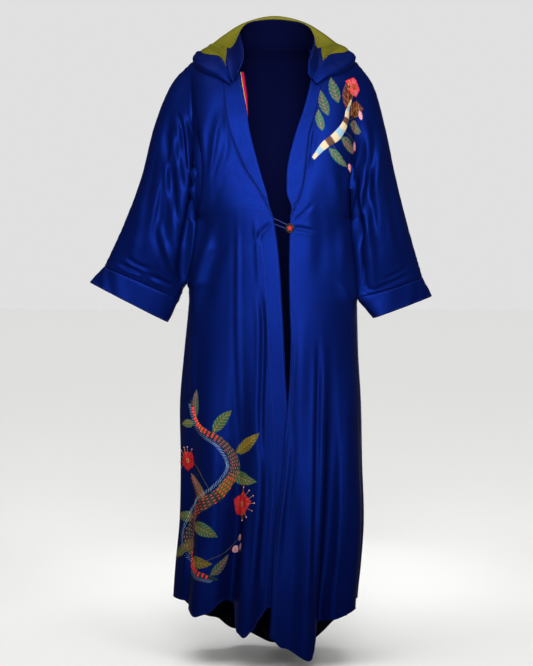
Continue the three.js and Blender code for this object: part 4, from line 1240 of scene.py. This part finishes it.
# ---------------------------------------------------------------- embroidery
class Motifs:
    """Laid-thread shapes drawn flat, in millimetres right and up, then laid on a panel."""

    def __init__(self, scale=1.0):
        self.scale = scale
        self.points, self.faces, self.uv, self.tint = [], [], [], []
        self.lines, self.dashes, self.knots = {}, {}, {}

    def patch(self, grid, height, colour, grain):
        """A grid of flat points with a height at each, dyed in one colour or one for each row."""
        rows, columns = grid.shape[:2]
        index = len(self.points) + np.arange(rows * columns).reshape(rows, columns)
        self.points.extend(np.concatenate([grid, height[..., None]], -1).reshape(-1, 3))
        self.uv.extend(grain.reshape(-1, 2))
        self.tint.extend(np.broadcast_to(colour, (rows, columns, 4)).reshape(-1, 4))
        quads = np.stack([index[:-1, :-1], index[:-1, 1:], index[1:, 1:], index[1:, :-1]], -1)
        i, j = rows // 2, columns // 2
        across, down = grid[i, j + 1] - grid[i, j], grid[i + 1, j] - grid[i, j]
        turned = across[0] * down[1] - across[1] * down[0] < 0
        self.faces.extend(quads.reshape(-1, 4)[:, ::-1 if turned else 1])

    def line(self, colour, points, height=1.0):
        flat = np.asarray(points, float)
        self.lines.setdefault(colour, []).append(np.column_stack([flat, np.full(len(flat), height)]))

    def dash(self, colour, start, end):
        """One bold stitch."""
        self.dashes.setdefault(colour, []).append([(*start, 1.1), (*end, 1.1)])

    def knot(self, colour, place, height=1.3):
        self.knots.setdefault(colour, []).append((*place, height))

    def ribbon(self, line, side, half, share, height, grain, colour):
        """A patch along a line, out to half its width on both sides."""
        grid = line[:, None] + side[:, None] * (half[:, None] * share)[..., None]
        self.patch(grid, height * np.ones_like(half)[:, None] - 0.25, colour, np.stack(grain, -1))

    def leaf(self, base, angle, length, width, colour, vein, bend=18, pairs=6):
        """A leaf of slanted satin stitch with a curved midrib and side veins."""
        t = np.linspace(0, 1, 27)
        heading = math.radians(angle) + math.radians(bend) * t
        steps = np.stack([np.cos(heading), np.sin(heading)], -1) * length / (len(t) - 1)
        line = np.asarray(base, float) + summed(steps[:-1])
        half = width / 2 * np.sin(math.pi * t**0.8) ** 0.85
        half[[0, -1]] = 0.15
        side = np.stack([-np.sin(heading), np.cos(heading)], -1)
        share = np.linspace(-1, 1, 9)
        height = 0.95 * dome(share, 3) - 0.35 * bell(share / 0.12)
        run, out = t[:, None] * length, np.abs(half[:, None] * share)
        self.ribbon(line, side, half, share, height, [run - out, run + out], tint(colour))
        self.line(vein, line[1:-1])
        at = np.linspace(0, 1, 6)
        for k in range(pairs):
            spots = 0.1 + 0.74 * k / pairs + at * 0.15
            ribs, sides = (
                np.stack([np.interp(spots, t, rows[:, i]) for i in (0, 1)], -1) for rows in (line, side)
            )
            for way in (-1, 1):
                reach = np.interp(spots, t, half) * at * 0.86 * way
                self.line(vein, ribs + sides * reach[:, None])

    def stem(self, path, widths, colours):
        """A padded stem along a path, its width and colour changing along it."""
        t = np.linspace(0, 1, 14 * len(path))
        line = centripetal(path, t)
        way = unit(np.gradient(line, axis=0))
        side = np.stack([-way[:, 1], way[:, 0]], -1)
        half = np.interp(t, np.linspace(0, 1, len(widths)), widths) / 2
        share = np.linspace(-1, 1, 7)
        length = summed(np.linalg.norm(np.diff(line, axis=0), axis=1))[:, None]
        grain = [length + share * 1.5, length + 0 * share]
        bands = (t * len(colours) * 3).astype(int) % len(colours)
        dyes = np.array([tint(colours[i]) for i in bands])[:, None]
        self.ribbon(line, side, half, share, 1.25 * dome(share, 2.5), grain, dyes)
        return line, side, half

    def petals(self, centre, radius, colour, heart, dots, turn, vein):
        """A blossom of five rounded petals with a domed heart and knots round it."""
        centre = np.asarray(centre, float)
        t, share = np.linspace(0, 1, 13), np.linspace(-1, 1, 9)
        half = radius * 0.84 * math.sin(math.pi / 5) * np.sin(math.pi * (0.1 + 0.9 * t) ** 1.25)
        half[-1] = 0.2
        round_end = 0.1 * radius * t[:, None] ** 3 * share**2
        tip = (radius * (0.16 + 0.84 * t))[:, None] - round_end
        rise = np.sin(math.pi * np.clip(t, 0.05, 0.97))[:, None] ** 0.4
        out = half[:, None] * share
        spots = np.linspace(0.15, 0.72, 5)
        for k in range(5):
            way = compass(turn + 72 * k)
            side = np.array([-way[1], way[0]])
            grid = centre + tip[..., None] * way + out[..., None] * side
            self.patch(grid, 0.9 * dome(share, 3) * rise - 0.2, tint(colour), np.stack([out, tip], -1))
            for spread in (-0.45, 0.0, 0.45):
                aside = (np.interp(spots, t, half) * spread)[:, None] * side
                self.line(vein, centre + (radius * (0.16 + 0.84 * spots))[:, None] * way + aside)
        self.disc(centre, radius * 0.27, heart, dots, 7)

    def disc(self, centre, radius, colour, dots, count=1):
        """A small domed round, such as a berry or a flower's heart."""
        centre = np.asarray(centre, float)
        angle = np.linspace(0, 2 * math.pi, 21)
        share = np.linspace(0.04, 1, 6)[:, None]
        ring = np.stack([np.cos(angle), np.sin(angle)], -1)
        height = (1.3 * (1 - share**3) - 0.2) * np.ones_like(angle)
        grain = np.stack([angle * radius * share, share * radius + 0 * angle], -1)
        self.patch(centre + share[..., None] * radius * ring, height, tint(colour), grain)
        if count == 1:
            self.knot(dots, centre, 1.5)
        else:
            for k in range(count):
                self.knot(dots, centre + radius * 0.62 * compass(360 * k / count))

    def fringe(self, colour, line, side, half, length):
        """Short slanted stitches along one side of a stem."""
        for k in range(2, len(line) - 3):
            start = line[k] + side[k] * half[k] * 1.1
            lean = unit(line[k + 1] - line[k]) * 0.7 + side[k]
            self.line(colour, [start, start + unit(lean) * length], 0.5)

    def lay(self, name, spot_of, cloth, looks):
        """Puts the motifs on the cloth: one mesh of laid thread, then its veins and knots."""
        def placed(flat):
            flat = np.asarray(flat, float)
            row, column = spot_of(flat[:, 0] * self.scale, flat[:, 1] * self.scale)
            return cloth.at(row, column, flat[:, 2])

        sizes = bpy.context.scene.robe_sizes
        floss = [looks["embroidery_silk_floss"]]
        mesh_piece(name, placed(self.points), self.faces, floss, self.uv, self.tint)
        tree, knots = roll_tree(), knot_tree()
        for kind, wide, drawn in (("lines", 1, self.lines), ("dashes", 2, self.dashes)):
            for colour, lines in drawn.items():
                grown(
                    f"{name}_{colour}_{kind}", [placed(line) for line in lines], tree,
                    Radius=sizes.floss * wide, Step=0.003, Material=looks[f"floss_{colour}"],
                )
        for colour, places in self.knots.items():
            dots = [point[None] for point in placed(places)]
            look = looks[f"floss_{colour}"]
            grown(f"{name}_{colour}_knots", dots, knots, Radius=sizes.knot, Material=look)


FLOSS = {
    "green": "084C32", "olive": "4A4A16", "dark_green": "06241A", "maroon": "44060E", "coral": "C41C28",
    "crimson": "980812", "gold": "9A6A16", "pink": "A04C5C", "pale_pink": "C08890", "cream": "B8A888",
    "sky": "7C9CAC", "brown": "4E3020", "teal": "0A5A40", "scarlet": "F02C34",
}

# Leaves: base, angle, length, width, colour, vein, bend, pairs of side veins.
CHEST_LEAVES = [
    ((20, 6), 100, 60, 27, "maroon", "gold", -14, 4), ((26, 0), 54, 56, 28, "maroon", "gold", -22, 4),
    ((-2, 14), 116, 52, 23, "green", "pink", -16, 5),
    ((-20, -16), 118, 50, 22, "green", "pink", -18, 5),
    ((-30, -50), 108, 42, 20, "teal", "pink", -14, 4), ((28, -14), 6, 44, 23, "green", "pink", 22, 4),
    ((8, -46), -14, 50, 24, "green", "pink", 20, 5), ((-16, -76), -28, 46, 22, "teal", "pink", 20, 4),
]
SKIRT_LEAVES = [
    ((44, 34), -24, 84, 33, "green", "gold", 24, 7), ((58, 78), 30, 74, 31, "olive", "gold", 18, 7),
    ((6, 122), 62, 66, 28, "green", "gold", -22), ((-44, 154), 96, 64, 25, "green", "pink", -14),
    ((-52, 140), 176, 46, 22, "teal", "gold", 18, 5), ((-4, -26), 150, 84, 36, "olive", "pink", -22, 8),
    ((-54, -72), 170, 56, 28, "green", "gold", 22), ((-62, -132), 208, 58, 27, "green", "gold", 18),
    ((-40, -84), -8, 80, 33, "green", "gold", -22, 7), ((-30, -158), -20, 66, 29, "olive", "gold", 22),
    ((34, -194), 40, 60, 26, "green", "pink", 22),
]


def tint(name):
    return dye(FLOSS[name])


def chest_motifs():
    """A spray with a curved stem, paired leaves, two blossoms and berries."""
    art = Motifs(1.22)
    for leaf in CHEST_LEAVES:
        art.leaf(*leaf)
    path = [(-46, -106), (-26, -76), (0, -46), (16, -16), (20, 12), (30, 40)]
    art.stem(path, (6, 13, 17, 14, 9, 4), ("cream", "sky", "cream", "brown"))
    art.petals((30, 56), 21, "coral", "gold", "crimson", 90, "pale_pink")
    art.petals((-38, 70), 13, "coral", "crimson", "gold", 60, "pale_pink")
    berries = (
        ((60, 22), 8.0, (48, 8), (24, -8)), ((58, -38), 7.5, (40, -34), (12, -32)),
        ((38, -88), 8.5, (20, -84), (-14, -64)),
    )
    for place, radius, *_ in berries:
        art.disc(place, radius, "pale_pink", "gold")
        for turn in range(0, 360, 60):
            spot = compass(turn)
            art.line("pink", [place + spot * radius * 0.45, place + spot * radius * 0.9])
    for place, _, *stalk in berries:
        art.line("olive", centripetal([place, *stalk], np.linspace(0.2, 1, 10)), 0.6)
    return art


def skirt_motifs():
    """A tall winding stem with paired leaves, two blossoms, berries and a stitched fringe."""
    art = Motifs()
    for leaf in SKIRT_LEAVES:
        art.leaf(*leaf)
    line, side, half = art.stem(
        [(52, -204), (-18, -178), (-66, -124), (-44, -62), (26, -12), (58, 46), (26, 102), (-36, 140),
         (-62, 194)],
        (5, 18, 28, 33, 32, 26, 18, 12, 4), ("dark_green", "dark_green", "olive", "dark_green"),
    )
    art.fringe("sky", line, side, half, 9.0)
    for k in range(5, len(line) - 6, 2):
        for share in (-0.62, -0.2, 0.25, 0.66):
            start = line[k] + side[k] * half[k] * (share + 0.12 * (-1) ** (k // 2))
            colour = "scarlet" if (k // 24) % 2 == 0 else "pink"
            art.dash(colour, start, start + unit(line[k + 1] - line[k]) * 4.4)
    blossoms = ((np.array((92, -36)), 31, 18, 38, -70), (np.array((-78, 56)), 25, 50, 31, 60))
    for centre, radius, turn, *_ in blossoms:
        art.petals(centre, radius, "crimson", "pink", "gold", turn, "coral")
    for centre, _, _, reach, start in blossoms:
        for turn in range(start, start + 160, 26):
            way = compass(turn)
            art.line("gold", [centre + way * reach * 0.5, centre + way * reach], 1.2)
            art.knot("pale_pink", centre + way * reach)
    art.line("olive", centripetal([(-78, 56), (-40, 44), (10, -10)], np.linspace(0.2, 1, 14)), 0.7)
    for place in ((96, -110), (108, -130), (88, -138)):
        art.disc(place, 8.5, "pale_pink", "gold")
    art.line("olive", centripetal([(96, -110), (64, -140), (-16, -176)], np.linspace(0.08, 1, 14)), 0.6)
    return art


# ---------------------------------------------------------------- sizes, colours and stage
def length(name, text, default):
    return FloatProperty(name=name, description=text, default=default, unit="LENGTH")


def colour(name, text, code):
    return FloatVectorProperty(name=name, description=text, default=dye(code), size=4, subtype="COLOR")


def amount(name, text, default, **kind):
    return FloatProperty(name=name, description=text, default=default, **kind)


class RobeSizes(bpy.types.PropertyGroup):
    """Sizes of the cloth and its sewing, in metres."""

    wall: length("Panel wall", "Thickness of a satin panel", 0.0014)
    fold: length("Folded wall", "Thickness of a folded band or cuff", 0.0024)
    lining: length("Lining wall", "Thickness of lining and facings", 0.0009)
    pitch: length("Stitch pitch", "Distance from stitch to stitch", 0.0034)
    stitch: length("Stitch length", "Length of one stitch", 0.0026)
    thread: length("Thread radius", "Radius of the sewing thread", 0.00028)
    floss: length("Floss radius", "Radius of an embroidered line", 0.00038)
    knot: length("Knot radius", "Radius of a French knot", 0.0014)
    roll: length("Rolled edge", "Radius of the rolled hem", 0.0013)
    seed: IntProperty(name="Seed", description="Start of the stitches' unevenness", default=3)


class RobeColours(bpy.types.PropertyGroup):
    """Colours of the robe, linear."""

    satin: colour("Satin", "Blue satin", "05154F")
    satin_deep: colour("Satin, deep", "Blue satin between its slubs", "040D40")
    # Partly painted shade: the inside is dyed much darker than the face for the shade that falls inside
    # the robe; the rest is the matt reverse's own duller colour.
    reverse: colour("Reverse", "Inside of the satin", "040622")
    lining: colour("Lining", "Chartreuse hood lining", "5F5C13")
    lining_deep: colour("Lining, deep", "Lining between its slubs", "4B480E")
    crimson: colour("Crimson", "Neck strip", "7E0A30")
    # Painted light: the back's turned-up hem band is coloured a lighter grey than the robe's dark
    # inside, for the light that catches the hem.
    facing: colour("Facing", "Charcoal hem facing", "111720")
    thread: colour("Thread", "Sewing thread", "102574")
    button: colour("Button", "Black enamel", "040405")
    star: colour("Star", "Red enamel", "8E0C0A")
    gilt: colour("Gilt", "Gilt brass", "B58735")


class RobeStage(bpy.types.PropertyGroup):
    """Where the camera stands and how bright the studio is."""

    lens: amount("Lens", "Focal length", 149.1, unit="CAMERA")
    back: length("Distance", "Camera's distance in front", 5.0)
    height: length("Height", "Camera's height in the robe's frame", -0.475)
    side: length("Side", "Camera's place sideways", -0.017)
    tilt: amount("Tilt", "How far the camera looks down", math.radians(2.12), subtype="ANGLE")
    key: amount("Key light", "Power of the gridded key light, in watts", 9.5)
    fill: amount("Fill light", "Power of the gridded fill light, in watts", 3.5)
    sun: amount("Ceiling light", "Strength of the ceiling's light", 2.5)
    air: amount("Ambient", "Strength of the room's light, front and rear", 0.12)
    air_side: amount("Ambient, sides", "Strength of the room's light at the sides", 0.04)
    wall: amount("Walls", "How pale the room's walls look", 0.75)
    floor: colour("Floor", "Floor colour", "F8F8F6")


# ---------------------------------------------------------------- operators
class Step:
    """What the operators share: each makes its pieces from the sizes and the finishes."""

    def execute(self, context):
        self.make(context.scene.robe_sizes, finishes())
        return {"FINISHED"}


class ROBE_OT_panels(Step, bpy.types.Operator):
    """Make the back and both fronts, each in one with its half sleeves"""

    bl_idname = "robe.panels"
    bl_label = "Back and fronts"

    def make(self, sizes, looks):
        cuts = {
            "back": ((1.46, 1.4), 0.86),
            "front_left": ((0.86, 1.33), 0.425),
            "front_right": ((0.82, 1.37), 0.395),
        }
        for name, (flat, area) in cuts.items():
            MADE[name] = Panel(name)
            faces = [looks["satin_face"], looks["satin_reverse"]]
            piece = cloth_piece(name + "_satin", MADE[name], faces, sizes.wall)
            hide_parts(name)


class ROBE_OT_bands(Step, bpy.types.Operator):
    """Make the folded front bands of the neckline"""

    bl_idname = "robe.bands"
    bl_label = "Front bands"

    def make(self, sizes, looks):
        for side in ("left", "right"):
            MADE[f"band_{side}"] = cloth = band_cloth(side)
            folded = turned_under(cloth, sizes.fold / MM)
            piece = cloth_piece(f"front_band_{side}_satin", folded, [looks["satin_face"]])
            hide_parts(f"front_band_{side}")


class ROBE_OT_cuffs(Step, bpy.types.Operator):
    """Make the folded cuffs, each a tube round the sleeve's end"""

    bl_idname = "robe.cuffs"
    bl_label = "Cuffs"

    def make(self, sizes, looks):
        for side in ("left", "right"):
            MADE[f"cuff_{side}"] = cloth = cuff_cloth(side)
            folded = turned_under(cloth, sizes.fold / MM)
            piece = cloth_piece(f"cuff_{side}_satin", folded, [looks["satin_face"]])
            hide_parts(f"cuff_{side}")


class ROBE_OT_hood(Step, bpy.types.Operator):
    """Make the hood, folded back on the shoulders, and its lining"""

    bl_idname = "robe.hood"
    bl_label = "Hood and lining"

    def make(self, sizes, looks):
        MADE["hood"] = cloth = hood_cloth()
        faces = [looks["satin_face"], looks["satin_reverse"]]
        piece = cloth_piece("hood_satin", cloth, faces, sizes.wall)
        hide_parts("hood")
        lining = [looks["lining_satin"]]
        piece = cloth_piece("hood_lining_satin", lining_cloth(cloth), lining, sizes.lining)
        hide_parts("hood_lining")


class ROBE_OT_facings(Step, bpy.types.Operator):
    """Make the crimson neck strip and the dark facing inside the back hem"""

    bl_idname = "robe.facings"
    bl_label = "Neck strip and hem facing"

    def make(self, sizes, looks):
        cloth, MADE["neck_edge"] = neck_strip()
        piece = cloth_piece("neck_facing_satin", cloth, [looks["neck_strip_satin"]], sizes.lining)
        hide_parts("neck_facing")
        # The hem band's lighter grey colour is painted light catching the turned-up hem.
        hem_band_look = [looks["hem_facing_twill"]]
        piece = cloth_piece("back_hem_facing_twill", hem_strip(), hem_band_look, sizes.lining)
        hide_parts("back_hem_facing")


class ROBE_OT_edges(Step, bpy.types.Operator):
    """Roll the hems and front edges and pipe the neck strip"""

    bl_idname = "robe.edges"
    bl_label = "Rolled edges"

    def make(self, sizes, looks):
        tree = roll_tree()
        half = sizes.wall / MM / 2
        for name in ("back", "front_left", "front_right"):
            cloth = MADE[name]
            hem = np.flatnonzero(cloth.filled[-1])
            lines = [cloth.points[-1, hem] - cloth.normals[-1, hem] * half]
            if name != "back":
                rows = np.arange(Panel.UNDERARM_ROW, len(cloth.rows))
                lines.append(cloth.at(rows, cloth.column(name, "body", 0.0), -half))
            look = looks["satin_face"]
            values = {"Radius": sizes.roll, "Step": 0.004, "Material": look}
            piece = grown(f"{name}_rolled_edge", lines, tree, **values)
        look = looks["piping_cord"]
        edge = [MADE["neck_edge"]]
        piece = grown("neck_facing_piping", edge, tree, Radius=0.0009, Step=0.003, Material=look)


class ROBE_OT_stitching(Step, bpy.types.Operator):
    """Sew the rows of stitches beside the seams, hems, front edges and pocket mouths"""

    bl_idname = "robe.stitching"
    bl_label = "Stitching"

    def make(self, sizes, looks):
        tree = stitch_tree()

        def sewn(name, cloth, lines):
            laid = [cloth.at(row, column, sizes.thread / MM * STITCH_LIFT) for row, column in lines]
            piece = grown(
                name, laid, tree, Pitch=sizes.pitch, Length=sizes.stitch, Thread=sizes.thread,
                Seed=sizes.seed, Material=looks["sewing_thread"],
            )

        for side, distances, low, high, deep in (
            ("left", (4.0, 34.0), 1.09, 1.22, 34), ("right", (4.0, 9.5), 1.1, 1.175, 30),
        ):
            name = f"front_{side}"
            cloth = MADE[name]
            lines = [cloth.beside(0.0, away, 1.0, 2.0) for away in distances]
            hem = np.full(300, len(cloth.rows) - 1) - 1.6
            lines.append((hem, cloth.column(name, "body", np.linspace(0, 1, 300))))
            lines.append(cloth.beside(0.0, 3.0, 0.3, 0.99))
            lines.append(cloth.beside(1.0, 6.0, low, high))
            turn = np.linspace(0, 1, 40)
            inward = 6.0 + deep * np.sin(math.pi / 2 * turn) ** 1.5
            rows, near = cloth.beside(1.0, 0.0, low, high)
            far = cloth.beside(1.0, 40.0, low, high)[1]
            share = np.interp(np.linspace(0, 1, len(rows)), turn, inward) / 40
            lines.append((rows, near + (far - near) * share))
            if side == "right":
                lines.append(cloth.spot("sleeve", np.linspace(0.02, 0.995, 160), 0.014))
            sewn(f"{name}_stitches", cloth, lines)
            rows = np.linspace(8, len(Panel.UPPER) - 2, 240)
            sewn(f"front_band_{side}_stitches", MADE[f"band_{side}"], [(rows, 1.3), (rows, 10.6)])
            cuff = MADE[f"cuff_{side}"]
            rows = np.linspace(0, cuff.points.shape[0] - 1, 300)
            sewn(f"cuff_{side}_stitches", cuff, [(rows, 0.8), (rows, 13.2)])
        back = MADE["back"]
        across, neck = (
            np.linspace(*(back.column(f"back_{side}", "body", u) for side in ("left", "right")), count)
            for u, count in ((1.0, 500), (NECK_SHARE, 120))
        )
        sewn("back_stitches", back, [(len(back.rows) - 2.6, across), (1.5, neck)])
        hood = MADE["hood"]
        sewn("hood_stitches", hood, [(1.6, np.linspace(2, hood.points.shape[1] - 3, 400))])


class ROBE_OT_embroidery(Step, bpy.types.Operator):
    """Embroider a spray on the right chest and a winding stem low on the left front"""

    bl_idname = "robe.embroidery"
    bl_label = "Embroidery"

    def make(self, sizes, looks):
        chest, front, form = MADE["front_right"], MADE["front_left"], QUARTERS["front_left"]
        arcs = chest.arcs(1)
        middle = int(chest.column("front_right", "body", 0.45))
        falls = chest.arcs(0)[:, middle]
        start = falls[int(chest.row(0.42))] + 9
        grows = np.arange(arcs.shape[1], dtype=float)

        def on_chest(a, b):
            row = np.interp(start - b, falls, np.arange(len(falls)))
            lines = arcs[np.round(row).astype(int)]
            column = [np.interp(line[middle] - 4 + over, line, grows) for line, over in zip(lines, a)]
            return row, np.array(column)

        levels, shares = np.linspace(-1240, -760, 49), np.linspace(0, 1, 121)
        z, u = np.meshgrid(levels, shares, indexing="ij")
        lengths = summed(np.linalg.norm(np.diff(form.skirt(u, z), axis=1), axis=-1), 1)
        place = lengths[:, -1] - 146

        def on_skirt(a, b):
            height = b - 1000
            level = np.clip(np.round((height + 1240) / 10).astype(int), 0, len(levels) - 1)
            share = np.array([
                np.interp(np.interp(h, levels, place) - over, lengths[k], shares)
                for h, over, k in zip(height, a, level)
            ])
            v = 1 + (height - UNDERARM) / (form.hem(share) - UNDERARM)
            return front.spot("body", share, v)

        chest_motifs().lay("embroidery_chest", on_chest, chest, looks)
        skirt_motifs().lay("embroidery_skirt", on_skirt, front, looks)


class ROBE_OT_fastening(Step, bpy.types.Operator):
    """Finish the button, its rim and star, and the cord loop"""

    bl_idname = "robe.fastening"
    bl_label = "Button and loop"

    def make(self, sizes, looks):
        for name, look in (
            ("button", "black_enamel"), ("button_rim", "gilt_brass"), ("button_star", "star_enamel"),
            ("button_loop", "loop_cord"),
        ):
            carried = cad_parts[name]
            carried.data.materials.clear()
            carried.data.materials.append(looks[look])


class ROBE_OT_stage(bpy.types.Operator):
    """Lay the floor and set the lights and camera"""

    bl_idname = "robe.stage"
    bl_label = "Stage"

    def execute(self, context):
        scene, stage = context.scene, context.scene.robe_stage
        low = CAD_BOX[0].z - 0.012
        mesh = bpy.data.meshes.new("floor")
        corners = [(x * 30, y * 30, low) for x, y in ((-1, -1), (1, -1), (1, 1), (-1, 1))]
        mesh.from_pydata(corners, [], [(0, 1, 2, 3)])
        mesh.materials.append(finish_of("painted_floor", painted_floor, tuple(stage.floor)))
        placed_object("floor", mesh)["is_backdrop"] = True
        scene.world = bpy.data.worlds.new("studio")
        scene.world.use_nodes = True
        tree = scene.world.node_tree
        background = tree.nodes["Background"].inputs
        background["Color"].default_value = (1.0, 1.0, 1.0, 1.0)
        # The room lights the satin dimly, so that its edges fall dark; only its walls are pale.
        toward = add(tree, "ShaderNodeTexCoord", {}, "Generated")
        faced = maths(tree, "ABSOLUTE", add(tree, "ShaderNodeSeparateXYZ", {"Vector": toward}, "Y"))
        room = ranged(tree, maths(tree, "POWER", faced, 4.0), stage.air_side, stage.air)
        seen = add(tree, "ShaderNodeLightPath", {}, "Is Camera Ray")
        tree.links.new(mixed(tree, seen, room, stage.wall, "FLOAT"), background["Strength"])
        for name, place, size, power, spread in (
            ("key", (0.0, -2.4, 0.1), 1.3, stage.key, 34),
            ("fill", (1.3, -2.4, 0.4), 1.2, stage.fill, 70),
            ("rear", (0.1, 2.4, -0.6), 1.5, stage.key * 0.6, 70),
        ):
            light = bpy.data.lights.new(name, "AREA")
            light.spread = math.radians(spread)
            light.shape, light.size, light.energy = "DISK", size, power
            lamp = placed_object(name, light)
            lamp.location = place
            toward = Vector((0, 0, -0.38)) - Vector(place)
            lamp.rotation_euler = toward.to_track_quat("-Z", "Y").to_euler()
        sun = bpy.data.lights.new("ceiling", "SUN")
        sun.energy, sun.angle = stage.sun, math.radians(50)
        over = Vector((-0.08, -0.22, 1.0)).to_track_quat("Z", "Y")
        placed_object("ceiling", sun).rotation_euler = over.to_euler()
        lens = bpy.data.cameras.new("camera")
        lens.sensor_width, lens.sensor_fit, lens.lens = 36.0, "HORIZONTAL", stage.lens
        lens.clip_end = 60.0
        scene.camera = placed_object("camera", lens)
        scene.camera.location = (stage.side, -stage.back, stage.height)
        scene.camera.rotation_euler = (math.pi / 2 - stage.tilt, 0.0, 0.0)
        scene.view_settings.view_transform = "Standard"
        return {"FINISHED"}


OPERATORS = (
    ROBE_OT_stage, ROBE_OT_panels, ROBE_OT_bands, ROBE_OT_cuffs, ROBE_OT_hood, ROBE_OT_facings,
    ROBE_OT_edges, ROBE_OT_stitching, ROBE_OT_embroidery, ROBE_OT_fastening,
)
GROUPS = {"robe_sizes": RobeSizes, "robe_colours": RobeColours, "robe_stage": RobeStage}


class ROBE_PT_robe(bpy.types.Panel):
    """Sizes, colours and steps of the robe"""

    bl_label = "Hooded Satin Robe"
    bl_idname = "ROBE_PT_robe"
    bl_space_type = "VIEW_3D"
    bl_region_type = "UI"
    bl_category = "Robe"

    def draw(self, context):
        for operator in OPERATORS:
            self.layout.operator(operator.bl_idname)
        for label, group in GROUPS.items():
            box = self.layout.box()
            for name in group.__annotations__:
                box.prop(getattr(context.scene, label), name)


def register():
    for kind in (*GROUPS.values(), *OPERATORS, ROBE_PT_robe):
        bpy.utils.register_class(kind)
    for name, group in GROUPS.items():
        setattr(bpy.types.Scene, name, PointerProperty(type=group))


def unregister():
    for name in GROUPS:
        delattr(bpy.types.Scene, name)
    for kind in reversed((*GROUPS.values(), *OPERATORS, ROBE_PT_robe)):
        bpy.utils.unregister_class(kind)


def main():
    register()
    for operator in OPERATORS:
        getattr(bpy.ops.robe, operator.bl_idname.split(".")[1])()
    boxes = {"cad": CAD_BOX, "visual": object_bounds()}
    {name: [list(corner) for corner in box] for name, box in boxes.items()}


if __name__ == "__main__":
    main()
